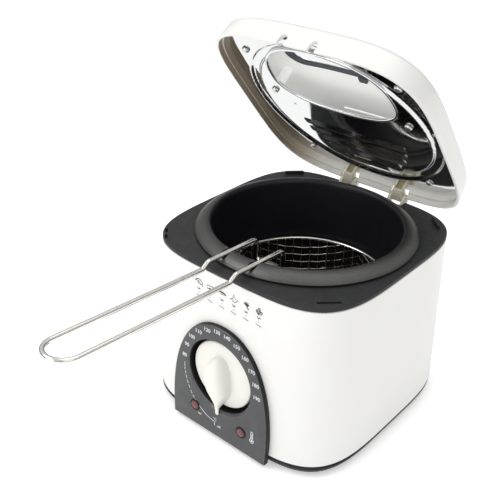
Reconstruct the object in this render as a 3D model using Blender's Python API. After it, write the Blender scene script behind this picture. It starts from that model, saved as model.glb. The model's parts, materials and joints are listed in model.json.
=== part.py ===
"""Compact deep fryer with a hinged lid, a wire basket on a folding handle and a round pot.

Metres, +Z up, front towards -Y.  The lid stands open by LID_OPEN at rest.
"""
import math

import bmesh
import bpy
from mathutils import Matrix, Vector

# ---- housing and deck ----
HALF_X = 0.1000              # deck outline, half width
HALF_Y = 0.1027              # deck outline, half depth
CORNER_POWER = 4.15          # superellipse exponent of the plan outline
FLARE = 0.041                # how much wider the housing is at its bottom edge
DECK_TOP = 0.1616
DECK_EDGE = 0.0041           # height of the visible deck edge
HOUSING_LOW = 0.0105
HOUSING_HIGH = DECK_TOP - DECK_EDGE - 0.0003
WALL = 0.0025
GAP = 0.0003                 # air between touching pieces
PLAN_SEGMENTS = 64
FRAME_SHIFT = 0.0758         # moves the whole piece so its bounding box is centred on Y
ROUND_SEGMENTS = 40

# ---- base ----
FOOT_X, FOOT_Y = 0.0740, 0.0760
FOOT_RADIUS = 0.0090
BASE_LOW = 0.0020
BASE_POWER = 4.4              # a little squarer than the housing
BASE_SCREW_X, BASE_SCREW_Y = 0.0480, 0.0820

# ---- pot ----
POT_RADIUS = 0.0798          # inside of the wall near the lip
POT_FLOOR = 0.0550
LIP_OUTER = 0.0946
LIP_CREST = DECK_TOP + 0.0089
DECK_HOLE = 0.0846
WIRE_HALF_GAP = 0.0140       # the two handle wires run at x = -/+ this value

# ---- front panel and knob ----
KNOB_Z = 0.0666
KNOB_RADIUS = 0.0310
WELL_RADIUS = 0.0340
WELL_DEPTH = 0.0065
PANEL_PROUD = 0.0045
PANEL_HALF = 0.0522
PANEL_ARCH_Z = 0.0200        # the arch springs from here
PANEL_ARCH_RISE = 0.0943
PANEL_POWER = 2.3
LAMP_X, LAMP_Z, LAMP_RADIUS = 0.0260, 0.0240, 0.0042

# ---- lid, drawn closed, then turned about the hinge axis ----
LID_OPEN = math.radians(50)
HINGE_Y, HINGE_Z = 0.1045, 0.1635
HINGE_X = 0.0270
LID_RIM = DECK_TOP + 0.0010
LID_POWER = 4.4
SKIRT = 0.0165
STEP = 0.0050                 # height of the ledge inside the lid's skirt
SKIRT_SCALE = 0.985
DOME = 0.0215
PLATE_LIFT = 0.0095          # underside of the steel plate above the rim
PLATE = 0.0008
BEAD_INNER, BEAD_OUTER, BEAD_RISE = 0.0800, 0.0912, 0.0025
WINDOW_REAR = -0.0320
LID_SCREWS = ((0.0720, -0.0670), (0.0660, -0.0150), (0.0620, 0.0730))
LOUVRE_Y, LOUVRE_PITCH, LOUVRES = 0.0240, 0.0115, 5

# ---- basket and handle ----
BASKET_RADIUS = 0.0745
BASKET_LOW, BASKET_HIGH = 0.0630, 0.1088
RING_Z, RING_RADIUS, RING_WIRE = 0.1110, 0.0760, 0.0017
PIVOT_Y, PIVOT_Z = -0.0490, 0.1470
HANDLE_WIRE = 0.0021
HANDLE_END = -0.2520         # where the two wires turn into the end bow

AXIS_Y = Matrix.Rotation(math.radians(90), 4, "X")


# ---------------------------------------------------------------- helpers
def clear_scene():
    for item in list(bpy.data.objects):
        bpy.data.objects.remove(item, do_unlink=True)


def finish_material(name, colour, roughness, metallic=0.0, alpha=1.0):
    made = bpy.data.materials.get(name) or bpy.data.materials.new(name)
    made.use_nodes = True
    shader = made.node_tree.nodes["Principled BSDF"]
    shader.inputs["Base Color"].default_value = (*colour, 1.0)
    shader.inputs["Roughness"].default_value = roughness
    shader.inputs["Metallic"].default_value = metallic
    shader.inputs["Alpha"].default_value = alpha
    return made


def white():
    return finish_material("white_shell", (0.86, 0.86, 0.84), 0.35)


def black():
    return finish_material("dark_plastic", (0.035, 0.036, 0.038), 0.55)


def nonstick():
    return finish_material("nonstick", (0.03, 0.03, 0.034), 0.45, 0.3)


def steel():
    return finish_material("polished_steel", (0.75, 0.75, 0.74), 0.12, 1.0)


def cream():
    return finish_material("cream_plastic", (0.80, 0.76, 0.60), 0.45)


def red():
    return finish_material("red_lens", (0.65, 0.10, 0.07), 0.25)


def clear_glass():
    return finish_material("clear_window", (0.90, 0.93, 0.93), 0.05, 0.0, 0.3)


def rubber():
    return finish_material("rubber", (0.05, 0.05, 0.05), 0.8)


def add(name, mesh, material, pivot=None):
    """Link a mesh as a named object; with a pivot, its origin sits on that empty."""
    item = bpy.data.objects.new(name, mesh)
    bpy.context.collection.objects.link(item)
    if material:
        mesh.materials.append(material)
    if pivot:
        mesh.transform(Matrix.Translation(-Vector(pivot["home"])))
        item.parent = pivot
    return item


def pivot_empty(name, place, turn=0.0):
    item = bpy.data.objects.new(name, None)
    item.location = place
    item.rotation_euler = (turn, 0.0, 0.0)
    item["home"] = place
    bpy.context.collection.objects.link(item)
    return item


def to_mesh(name, shape, smooth=35):
    bmesh.ops.recalc_face_normals(shape, faces=shape.faces)
    mesh = bpy.data.meshes.new(name)
    shape.to_mesh(mesh)
    shape.free()
    mesh.shade_smooth()
    mesh.set_sharp_from_angle(angle=math.radians(smooth))
    return mesh


def loft(name, loops, ring=False):
    """Skin between loops of equal length: a closed ring of loops, or one with end caps."""
    shape = bmesh.new()
    rows = [[shape.verts.new(point) for point in loop] for loop in loops]
    pairs = list(zip(rows, rows[1:]))
    if ring:
        pairs.append((rows[-1], rows[0]))
    for one, two in pairs:
        for i in range(len(one)):
            j = (i + 1) % len(one)
            shape.faces.new((one[i], one[j], two[j], two[i]))
    if not ring:
        shape.faces.new(rows[0])
        shape.faces.new(rows[-1])
    return to_mesh(name, shape)


def turned(name, profile, segments=ROUND_SEGMENTS, ring=False):
    """Turn (radius, height) points about Z.  Ends on the axis close as points."""
    shape = bmesh.new()
    rows = []
    for radius, height in profile:
        if radius < 1e-6:
            rows.append([shape.verts.new((0, 0, height))])
            continue
        rows.append([shape.verts.new((radius * math.cos(a), radius * math.sin(a), height))
                     for a in (math.tau * i / segments for i in range(segments))])
    pairs = list(zip(rows, rows[1:]))
    if ring:
        pairs.append((rows[-1], rows[0]))
    for one, two in pairs:
        for i in range(segments):
            j = (i + 1) % segments
            corners = [one[i % len(one)], one[j % len(one)], two[j % len(two)], two[i % len(two)]]
            corners = list(dict.fromkeys(corners))
            if len(corners) > 2:
                shape.faces.new(corners)
    return to_mesh(name, shape)


def disc(radius, low, high, segments=ROUND_SEGMENTS):
    return [(0, low), (radius, low), (radius, high), (0, high)]


def along_y(mesh, place):
    """Lay a piece turned about Z along -Y, its height pointing out of the front."""
    mesh.transform(Matrix.Translation(Vector(place)) @ AXIS_Y)
    return mesh


def box_mesh(name, *spans):
    """One mesh of separate boxes, each given as (low corner, high corner)."""
    shape = bmesh.new()
    for low, high in spans:
        size = [b - a for a, b in zip(low, high)]
        middle = [(a + b) / 2 for a, b in zip(low, high)]
        place = Matrix.Translation(middle) @ Matrix.Diagonal((*size, 1.0))
        bmesh.ops.create_cube(shape, size=1.0, matrix=place)
    return to_mesh(name, shape)


def prism(name, outline, low, high, axis="Z"):
    """Extrude a plan outline: along Z from (x, y) points, or along Y from (x, z) points."""
    if axis == "Z":
        return loft(name, [[(x, y, h) for x, y in outline] for h in (low, high)])
    return loft(name, [[(x, h, z) for x, z in outline] for h in (low, high)])


def joined(name, meshes):
    shape = bmesh.new()
    for mesh in meshes:
        shape.from_mesh(mesh)
    return to_mesh(name, shape)


def carve(item, mesh, operation="DIFFERENCE", pivot=None):
    """Boolean with a hidden cutter that stays on its object."""
    label = f"{item.name}_cutter_{len(item.modifiers)}"
    cutter = add(label, mesh, None, pivot)
    cutter.hide_render = True
    cutter.display_type = "WIRE"
    step = item.modifiers.new(operation.title(), "BOOLEAN")
    step.operation = operation
    step.solver = "EXACT"
    step.object = cutter
    return item


def wire(name, points, radius, material, pivot=None, sides=2):
    """A round wire through points, with filled ends."""
    curve = bpy.data.curves.new(name, "CURVE")
    curve.dimensions = "3D"
    curve.bevel_depth = radius
    curve.bevel_resolution = sides
    curve.use_fill_caps = True
    line = curve.splines.new("POLY")
    line.points.add(len(points) - 1)
    for spot, point in zip(line.points, points):
        spot.co = (*point, 1.0)
    item = bpy.data.objects.new(name, curve)
    bpy.context.collection.objects.link(item)
    curve.materials.append(material)
    if pivot:
        curve.transform(Matrix.Translation(-Vector(pivot["home"])))
        item.parent = pivot
    return item


def rounded_path(corners, radii, steps=5):
    """Points along a path whose inner corners are arcs of the given radii."""
    points = [Vector(corners[0])]
    for before, here, after, radius in zip(corners, corners[1:], corners[2:], radii):
        here = Vector(here)
        back = (Vector(before) - here).normalized()
        ahead = (Vector(after) - here).normalized()
        half = back.angle(ahead) / 2
        reach = radius / math.tan(half)
        centre = here + (back + ahead).normalized() * radius / math.sin(half)
        start, end = here + back * reach - centre, here + ahead * reach - centre
        for i in range(steps + 1):
            way = start.normalized().slerp(end.normalized(), i / steps)
            points.append(centre + way * radius)
    points.append(Vector(corners[-1]))
    return points


def plan(half_x, half_y, z, power=CORNER_POWER, count=PLAN_SEGMENTS):
    """A superellipse loop at height z."""
    loop = []
    for i in range(count):
        a = math.tau * (i + 0.5) / count
        c, s = math.cos(a), math.sin(a)
        scale = (abs(c / half_x) ** power + abs(s / half_y) ** power) ** (-1 / power)
        loop.append((c * scale, s * scale, z))
    return loop


def body_plan(z, inset=0.0):
    """The housing's outer outline at height z, moved inward by inset."""
    grow = 1 + FLARE * (HOUSING_HIGH - z) / (HOUSING_HIGH - HOUSING_LOW)
    return plan(HALF_X * grow - inset, HALF_Y * grow - inset, z)


def face_y(z):
    """The front of the housing on the centre line at height z."""
    return -HALF_Y * (1 + FLARE * (HOUSING_HIGH - z) / (HOUSING_HIGH - HOUSING_LOW))


# ---------------------------------------------------------------- housing
def build_housing():
    shell = add("housing_shell", loft("housing_shell", [
        body_plan(HOUSING_HIGH), body_plan(HOUSING_LOW + 0.001), body_plan(HOUSING_LOW, 0.0006),
        body_plan(HOUSING_LOW, WALL), body_plan(HOUSING_HIGH, WALL)], ring=True), white())
    holes = [along_y(turned("hole", disc(WELL_RADIUS + 0.0034, 0.080, 0.120)), (0, 0, KNOB_Z))]
    for side in (-1, 1):
        holes.append(along_y(turned("hole", disc(LAMP_RADIUS + 0.0004, 0.080, 0.120), 24),
                             (side * LAMP_X, 0, LAMP_Z)))
    holes.append(along_y(turned("hole", disc(0.0060, -0.115, -0.090), 24), (0.030, 0, 0.025)))
    carve(shell, joined("holes", holes))
    return shell


def base_plan(z, inset):
    """The base tray's outline: inset along the sides, close to the housing at the corners."""
    return plan(HALF_X * (1 + FLARE) - inset, HALF_Y * (1 + FLARE) - inset, z, BASE_POWER)


def build_base():
    foot = 0.0050
    plate = add("base_plate", loft("base_plate", [
        base_plan(BASE_LOW, 0.0040), base_plan(BASE_LOW + 0.0012, 0.0028),
        base_plan(HOUSING_LOW - GAP, 0.0010), body_plan(HOUSING_LOW - GAP, WALL + 0.0006),
        body_plan(0.0120, WALL + 0.0006), body_plan(0.0120, WALL + 0.0026),
        body_plan(foot + 0.0004, WALL + 0.0026)]), black())
    slots = [((-0.030, y - 0.0020, 0.0), (0.030, y + 0.0020, 0.010))
             for y in (-0.045, -0.027, -0.009, 0.009, 0.027, 0.045)]
    cuts = [box_mesh("slots", *slots)]
    for x, y in corners(BASE_SCREW_X, BASE_SCREW_Y):
        hole = turned("hole", disc(0.0019, 0.0, 0.010), 16)
        hole.transform(Matrix.Translation((x, y, 0)))
        cuts.append(hole)
    carve(plate, joined("cuts", cuts))
    for number, (x, y) in enumerate(corners(FOOT_X, FOOT_Y), 1):
        mesh = turned("foot", [(0, 0), (FOOT_RADIUS - 0.001, 0), (FOOT_RADIUS, 0.0008),
                               (FOOT_RADIUS, BASE_LOW - GAP), (0, BASE_LOW - GAP)], 24)
        mesh.transform(Matrix.Translation((x, y, 0)))
        add(f"foot_{number}", mesh, rubber())
    for number, (x, y) in enumerate(corners(BASE_SCREW_X, BASE_SCREW_Y), 1):
        mesh = screw_mesh(head=0.0030, head_low=0.0004, head_high=BASE_LOW - GAP, tip=0.0150)
        mesh.transform(Matrix.Translation((x, y, 0)))
        add(f"base_screw_{number}", mesh, steel())


def corners(x, y):
    return [(-x, -y), (x, -y), (x, y), (-x, y)]


def screw_mesh(head, head_low, head_high, tip, shank=0.0015):
    """A pan head at the bottom with its shank pointing up."""
    return turned("screw", [(0, head_low), (head * 0.7, head_low), (head, head_low + 0.0007),
                            (head, head_high), (shank, head_high), (shank, tip - 0.001),
                            (0, tip)], 16)


def build_deck():
    high, low = DECK_TOP, DECK_TOP - DECK_EDGE
    hole = [(DECK_HOLE * math.cos(math.tau * (i + 0.5) / PLAN_SEGMENTS),
             DECK_HOLE * math.sin(math.tau * (i + 0.5) / PLAN_SEGMENTS))
            for i in range(PLAN_SEGMENTS)]

    def edge(inset, z):
        return plan(HALF_X - inset, HALF_Y - inset, z)

    deck = add("top_deck", loft("top_deck", [
        edge(0, low), edge(0, high - 0.0008), edge(0.0008, high),
        [(x, y, high) for x, y in hole], [(x, y, high - 0.0030) for x, y in hole],
        edge(0.0052, high - 0.0030), edge(0.0052, 0.1510), edge(0.0030, 0.1510),
        edge(0.0030, low)], ring=True), black())
    tabs = []
    for x, y in corners(0.0775, 0.0830):
        turn = Matrix.Rotation(math.radians(-45 if x * y > 0 else 45), 4, "Z")
        if y > 0:
            tab = box_mesh("tab", ((-0.009, -0.0012, high - 0.001),
                                   (0.009, 0.0012, high + 0.0028)))
        else:
            tab = box_mesh("slot", ((-0.010, -0.0012, high - 0.0022),
                                    (0.010, 0.0012, high + 0.0020)))
        tab.transform(Matrix.Translation((x, y, 0)) @ turn)
        tabs.append(tab)
    carve(deck, joined("tabs", tabs[2:]), "UNION")
    notch = box_mesh("notch", ((-0.036, 0.0930, 0.1450), (0.036, 0.1080, 0.1700)))
    carve(deck, joined("slots", tabs[:2] + [notch]))


def build_pot():
    wall = 0.0014
    outer, inner = POT_RADIUS + wall, POT_RADIUS
    fillet = 0.0130
    low = POT_FLOOR - wall
    bend_out = [(outer - 0.0008 - fillet + fillet * math.sin(a), low + fillet - fillet * math.cos(a))
                for a in (math.radians(30 * i) for i in range(4))]
    bend_in = [(inner - 0.0008 - fillet + fillet * math.sin(a),
                POT_FLOOR + fillet - fillet * math.cos(a))
               for a in (math.radians(30 * i) for i in range(4))]
    top = LIP_CREST
    edge = LIP_OUTER
    profile = [(0, low), *bend_out, (outer, top - 0.0090), (outer + 0.0006, top - 0.0042),
               (0.0836, top - 0.0017), (0.0880, top - 0.0032),
               (edge - 0.0012, top - 0.0074), (edge, top - 0.0071), (0.0925, top - 0.0046),
               (0.0896, top - 0.0024), (0.0864, top - 0.0008), (0.0834, top),
               (0.0815, top - 0.0010), (inner + 0.0004, top - 0.0042), (inner, top - 0.0090),
               *reversed(bend_in), (0, POT_FLOOR)]
    pot = add("inner_pot", turned("inner_pot", profile, 60), nonstick())
    half, low_cut = 0.0037, DECK_TOP + 0.0034
    carve(pot, box_mesh("notches", *[
        ((s * WIRE_HALF_GAP - half, -0.0980, low_cut), (s * WIRE_HALF_GAP + half, -0.0760, 0.1800))
        for s in (-1, 1)]))


def build_heater():
    ring = [(0.050 * math.sin(a), -0.050 * math.cos(a), POT_FLOOR - 0.0052)
            for a in (math.radians(20 + 16 * i) for i in range(21))]
    wire("heating_element", ring, 0.0032, steel())
    add("heat_shield", turned("heat_shield", [
        (0, 0.0390), (0.0780, 0.0390), (0.0800, 0.0400), (0.0800, 0.0490), (0.0792, 0.0490),
        (0.0792, 0.0404), (0.0776, 0.0398), (0, 0.0398)]), steel())
    fuse = box_mesh("thermal_fuse", ((-0.007, 0.010, 0.0472), (0.007, 0.018, 0.0532)))
    add("thermal_fuse", fuse, cream())
    block = box_mesh("terminal_block", ((0.052, 0.060, 0.0060), (0.080, 0.075, 0.0180)))
    add("terminal_block", block, cream())
    thermostat = box_mesh("thermostat_body", ((-0.017, -0.0968, 0.0520), (0.017, -0.0840, 0.0810)))
    add("thermostat_body", thermostat, steel())
    gland = turned("cord_gland", [(0, -0.0060), (0.0056, -0.0060), (0.0056, 0.0036),
                                  (0.0090, 0.0036), (0.0084, 0.0056), (0, 0.0056)], 24)
    gland.transform(Matrix.Translation((0.030, 0.1036, 0.025)) @ Matrix.Rotation(
        math.radians(-90), 4, "X"))
    gland = add("cord_gland", gland, rubber())
    carve(gland, box_mesh("bore", ((0.0268, 0.0900, 0.0218), (0.0332, 0.1200, 0.0282))))


# ---------------------------------------------------------------- front
def arch_outline(inset=0.0):
    """The panel's arched outline as (x, z) points, from the bottom right round to the left."""
    half, rise = PANEL_HALF - inset, PANEL_ARCH_RISE - inset
    points = [(half - 0.0006, 0.0036 + inset)]
    for i in range(33):
        a = math.pi * i / 32
        c, s = math.cos(a), math.sin(a)
        points.append((math.copysign(half * abs(c) ** (2 / PANEL_POWER), c),
                       PANEL_ARCH_Z + rise * s ** (2 / PANEL_POWER)))
    points.append((-half + 0.0006, 0.0036 + inset))
    return points


def build_panel():
    rim, flat = arch_outline(), arch_outline(0.0012)
    panel = add("control_panel", loft("control_panel", [
        [(x, -0.0950, z) for x, z in rim],
        [(x, face_y(z) - PANEL_PROUD + 0.0010, z) for x, z in rim],
        [(x, face_y(z) - PANEL_PROUD, z) for x, z in flat]]), black())
    carve(panel, loft("body", [body_plan(z, -GAP) for z in (-0.010, 0.170)]))
    front = -face_y(KNOB_Z)
    cup = turned("cup", disc(WELL_RADIUS + 0.0026, front - WELL_DEPTH - 0.0015, front + 0.0020))
    carve(panel, along_y(cup, (0, 0, KNOB_Z)), "UNION")
    cuts = [along_y(turned("well", disc(WELL_RADIUS, front - WELL_DEPTH, 0.130)), (0, 0, KNOB_Z)),
            along_y(turned("bore", disc(0.0042, 0.080, front - WELL_DEPTH + 0.001), 24),
                    (0, 0, KNOB_Z))]
    for side in (-1, 1):
        cuts.append(along_y(turned("hole", disc(LAMP_RADIUS + 0.0004, 0.080, 0.130), 24),
                            (side * LAMP_X, 0, LAMP_Z)))
    carve(panel, cuts[0])
    carve(panel, joined("bores", cuts[1:]))


def build_lamps():
    front = -face_y(LAMP_Z)
    for name, side in (("power", -1), ("ready", 1)):
        lens = turned("lens", [(0, front - 0.0015), (LAMP_RADIUS, front - 0.0015),
                               (LAMP_RADIUS, front + PANEL_PROUD),
                               (0.0030, front + PANEL_PROUD + 0.0010),
                               (0, front + PANEL_PROUD + 0.0014)], 24)
        add(f"{name}_lamp_lens", along_y(lens, (side * LAMP_X, 0, LAMP_Z)), red())
        body = turned("lamp", disc(LAMP_RADIUS - 0.0003, front - 0.0160, front - 0.0018), 24)
        add(f"{name}_lamp_body", along_y(body, (side * LAMP_X, 0, LAMP_Z)), cream())


def grip_section(z):
    """One cross-section of the knob's teardrop grip at height z from the knob's axis."""
    tip, top = -0.0376, 0.0200
    if z >= 0:
        half = 0.0115 * math.sqrt(max(0.0, 1 - (z / (top + 0.0004)) ** 2))
    else:
        t = min(1.0, max(0.0, (z + 0.0330) / 0.0230))
        half = 0.0018 + 0.0097 * t * t * (3 - 2 * t)
    high = 0.0072 + 0.0088 * (0.5 + 0.5 * math.cos(math.pi * (0.004 - z) / 0.0416))
    if z > 0.004:
        high = 0.0160 * math.sqrt(1 - 0.8 * ((z - 0.004) / (top - 0.004)) ** 2)
    low = -0.0010 + 0.0070 * min(1.0, max(0.0, (-0.0270 - z) / 0.0040))
    section = []
    for i in range(11):
        a = math.pi * i / 10
        c, s = math.cos(a), math.sin(a)
        section.append((math.copysign(half * abs(c) ** 0.7, c), low + (high - low) * s ** 0.7))
    return section


def build_knob():
    front = -face_y(KNOB_Z)
    pivot = pivot_empty("knob_axis", (0, -front, KNOB_Z))
    face = turned("face", [(0, front - 0.0055), (KNOB_RADIUS - 0.0006, front - 0.0055),
                           (KNOB_RADIUS, front - 0.0048), (KNOB_RADIUS, front - 0.0008),
                           (KNOB_RADIUS - 0.0008, front), (0.0200, front + 0.0014),
                           (0.0100, front + 0.0020), (0, front + 0.0022)])
    knob = add("temperature_knob", along_y(face, (0, 0, KNOB_Z)), white(), pivot)
    levels = [-0.0376 + 0.0576 * i / 18 for i in range(19)]
    grip = loft("grip", [[(x, -front - out, KNOB_Z + z) for x, out in grip_section(z)]
                         for z in levels])
    carve(knob, grip, "UNION", pivot)
    shaft = turned("shaft", disc(0.0030, front - 0.0081, front - 0.0058), 24)
    add("knob_shaft", along_y(shaft, (0, 0, KNOB_Z)), steel(), pivot)


# ---------------------------------------------------------------- lid
def lid_loop(scale, z, inset=0.0, power=LID_POWER):
    return plan(HALF_X * scale - inset, HALF_Y * scale - inset, z, power)


def dome_loops(inset, drop, steps=6):
    """Loops over the dome, from the top of the skirt to a small cap, moved inward."""
    loops = []
    for i in range(steps + 1):
        a = math.radians(84) * i / steps
        power = LID_POWER - 1.6 * math.sin(a)
        loops.append(lid_loop(SKIRT_SCALE * math.cos(a), LID_RIM + SKIRT + (DOME - drop) * math.sin(a),
                              inset * math.cos(a), power))
    return loops


def window_outline(grow=0.0):
    """The window's D-shaped plan: a straight rear edge and a round front."""
    rear, radius, half = WINDOW_REAR + grow, 0.0800 + grow, 0.0520 + grow
    points = []
    start = -math.acos(half / radius)
    for i in range(17):
        a = start + (-math.pi - 2 * start) * i / 16
        points.append((radius * math.cos(a), radius * math.sin(a)))
    soft = 0.0080
    for centre_x, turn in ((-half + soft, 180), (half - soft, 90)):
        for i in range(5):
            a = math.radians(turn - 22.5 * i)
            points.append((centre_x + soft * math.cos(a), rear - soft + soft * math.sin(a)))
    return points


def build_lid(pivot):
    outer = [lid_loop(1.0, LID_RIM), *dome_loops(0, 0)]
    inner = [lid_loop(1.0, LID_RIM, WALL), lid_loop(1.0, LID_RIM + STEP, WALL),
             lid_loop(1.0, LID_RIM + STEP, WALL + 0.0015), *dome_loops(WALL, WALL)]
    shell = add("lid_shell", loft("lid_shell", outer[::-1] + inner), white(), pivot)
    bosses = []
    for x, y in screw_places():
        boss = turned("boss", disc(0.0042, LID_RIM + PLATE_LIFT + PLATE + GAP, boss_top(x, y)), 16)
        boss.transform(Matrix.Translation((x, y, 0)))
        bosses.append(boss)
    carve(shell, joined("bosses", bosses), "UNION", pivot)
    cuts = [prism("window", window_outline(), LID_RIM + 0.020, LID_RIM + 0.050)]
    for x, y in screw_places():
        hole = turned("hole", disc(0.0018, LID_RIM, LID_RIM + PLATE_LIFT + 0.0080), 12)
        hole.transform(Matrix.Translation((x, y, 0)))
        cuts.append(hole)
    for side in (-1, 1):
        cuts.append(prism("notch", notch_outline(side * WIRE_HALF_GAP), -0.108, -0.094, "Y"))
        cuts.append(box_mesh("arm_gap", ((side * HINGE_X - 0.0092, 0.0950, LID_RIM - 0.004),
                                         (side * HINGE_X + 0.0092, 0.1080, LID_RIM + 0.0088))))
    for i in range(5):
        y = 0.030 + 0.008 * i
        cuts.append(box_mesh("vent", ((-0.026, y - 0.0012, LID_RIM + 0.025),
                                      (0.026, y + 0.0012, LID_RIM + 0.050))))
    carve(shell, joined("cuts", cuts), "DIFFERENCE", pivot)


def screw_places():
    return [(side * x, y) for x, y in LID_SCREWS for side in (-1, 1)]


def boss_top(x, y):
    """A height inside the thickness of the lid's roof above (x, y)."""
    low, high = 0.0, math.radians(84)
    for _ in range(20):
        a = (low + high) / 2
        scale, power = SKIRT_SCALE * math.cos(a), LID_POWER - 1.6 * math.sin(a)
        if abs(x / HALF_X) ** power + abs(y / HALF_Y) ** power < scale ** power:
            low = a
        else:
            high = a
    return LID_RIM + SKIRT + DOME * math.sin(low) - 0.0015


def notch_outline(x, half=0.0033, height=0.0094):
    points = [(x + half, LID_RIM - 0.004)]
    for i in range(9):
        a = math.pi * i / 8
        points.append((x + half * math.cos(a), LID_RIM + height - half + half * math.sin(a)))
    points.append((x - half, LID_RIM - 0.004))
    return points


def dome_layer(name, near, far):
    """A thin layer of the dome between two depths below its outer face."""
    outer, inner = dome_loops(near, near), dome_loops(far, far)
    return loft(name, outer[::-1] + inner)


def build_window(pivot):
    window = add("lid_window", dome_layer("lid_window", 0.0006, 0.0020), clear_glass(), pivot)
    carve(window, prism("fit", window_outline(-0.0004), LID_RIM + 0.020, LID_RIM + 0.050),
          "INTERSECT", pivot)
    gasket = add("window_gasket", dome_layer("window_gasket", 0.0029, 0.0044), rubber(), pivot)
    carve(gasket, prism("outside", window_outline(0.0030), LID_RIM + 0.020, LID_RIM + 0.050),
          "INTERSECT", pivot)
    carve(gasket, prism("inside", window_outline(-0.0022), LID_RIM + 0.015, LID_RIM + 0.055),
          "DIFFERENCE", pivot)


def plate_window(grow=0.0):
    """The opening in the steel plate: a round front edge and a flatter rear edge."""
    points = []
    half = 0.0600 + grow
    for i in range(40):
        a = math.tau * i / 40
        c, s = math.cos(a), math.sin(a)
        reach = 0.0300 + grow if s > 0 else 0.0460 + grow
        points.append((math.copysign(half * abs(c) ** 0.86, c),
                       -0.0360 + math.copysign(reach * abs(s) ** 0.86, s)))
    return points


def build_plate(pivot):
    """The steel plate under the lid, with a raised round bead, a window and louvres."""
    low = LID_RIM + PLATE_LIFT

    def ring(radius, z):
        return [(radius * math.cos(math.tau * (i + 0.5) / PLAN_SEGMENTS),
                 radius * math.sin(math.tau * (i + 0.5) / PLAN_SEGMENTS), z)
                for i in range(PLAN_SEGMENTS)]

    def plate_plan(z):
        return [(x, y - 0.0015, z) for x, y, z in plan(0.0945, 0.0925, z, LID_POWER)]

    rows = [(BEAD_OUTER, 0.0), (BEAD_OUTER - 0.0022, BEAD_RISE),
            (BEAD_INNER + 0.0022, BEAD_RISE), (BEAD_INNER, 0.0)]
    under = [plate_plan(low)] + [ring(r, low + h) for r, h in rows]
    over = [plate_plan(low + PLATE)]
    over += [ring(r, low + PLATE + h) for r, h in rows]
    plate = add("lid_inner_plate", loft("lid_inner_plate", under[::-1] + over), steel(), pivot)
    cuts = [prism("opening", plate_window(), low - 0.004, low + 0.008)]
    for i in range(LOUVRES):
        y = LOUVRE_Y + LOUVRE_PITCH * i
        half = math.sqrt(0.0545 ** 2 - (y - 0.022) ** 2) - 0.002
        cuts.append(box_mesh("louvre", ((-half, y - 0.0011, low - 0.004),
                                        (half, y + 0.0011, low + 0.008))))
    for x, y in screw_places():
        hole = turned("hole", disc(0.0019, low - 0.004, low + 0.008), 12)
        hole.transform(Matrix.Translation((x, y, 0)))
        cuts.append(hole)
    carve(plate, joined("cuts", cuts), "DIFFERENCE", pivot)
    for number, (x, y) in enumerate(screw_places(), 1):
        mesh = screw_mesh(0.0033, low - 0.0024, low - GAP, low + 0.0070)
        mesh.transform(Matrix.Translation((x, y, 0)))
        add(f"lid_screw_{number}", mesh, steel(), pivot)
    add("vapour_filter", box_mesh("vapour_filter", ((-0.048, 0.0160, low + 0.0042),
                                                    (0.048, 0.0680, low + 0.0120))), black(), pivot)


def build_hinge(pivot):
    """Two arms that carry the lid, the pins they turn on and the lugs that hold the pins."""
    eye = 0.0042
    for side, word in ((-1, "left"), (1, "right")):
        x = side * HINGE_X
        round_eye = eye_points(eye, -100, 60)
        bar = [(0.0983, 0.1705), (0.0983, 0.1775), (0.0949, 0.1775), (0.0949, 0.1650)]
        arm_mesh = sheet(f"hinge_arm_{word}", round_eye + bar, x, 0.0050)
        arm = add(f"hinge_arm_{word}", arm_mesh, cream(), pivot)
        bore = across(turned("bore", disc(0.0021, -0.010, 0.010), 24), (x, HINGE_Y, HINGE_Z))
        web = box_mesh("web", ((x - 0.0032, 0.0940, 0.1670), (x + 0.0032, 0.0965, 0.1800)))
        carve(arm, joined("cuts", [bore, web]), "DIFFERENCE", pivot)
        lug = eye_points(eye, -60, 140)
        foot = [(0.0950, 0.1585), (0.0950, 0.1500), (0.0993, 0.1500), (0.0993, 0.1578)]
        bracket = add(f"hinge_bracket_{word}", sheet("bracket", lug + foot, x, 0.0086), cream())
        slot = box_mesh("slot", ((x - 0.0055, 0.0993, 0.1560), (x + 0.0055, 0.1120, 0.1720)))
        gap = box_mesh("gap", ((x - 0.0055, 0.0940, 0.1575), (x + 0.0055, 0.0999, 0.1720)))
        hole = bore.copy()
        carve(bracket, slot)
        carve(bracket, gap)
        carve(bracket, hole)
        pin = turned("pin", disc(0.0018, -0.0092, 0.0092), 16)
        add(f"hinge_pin_{word}", across(pin, (x, HINGE_Y, HINGE_Z)), steel())


def eye_points(radius, first, last):
    """Points round the hinge axis, as (y, z), every 20 degrees."""
    return [(HINGE_Y + radius * math.cos(math.radians(a)), HINGE_Z + radius * math.sin(math.radians(a)))
            for a in range(first, last + 1, 20)]


def across(mesh, place):
    """Lay a piece turned about Z along X."""
    mesh.transform(Matrix.Translation(place) @ Matrix.Rotation(math.radians(90), 4, "Y"))
    return mesh


def sheet(name, outline, x, half):
    """A (y, z) outline with thickness along X."""
    return loft(name, [[(x + side * half, y, z) for y, z in outline] for side in (-1, 1)])


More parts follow.
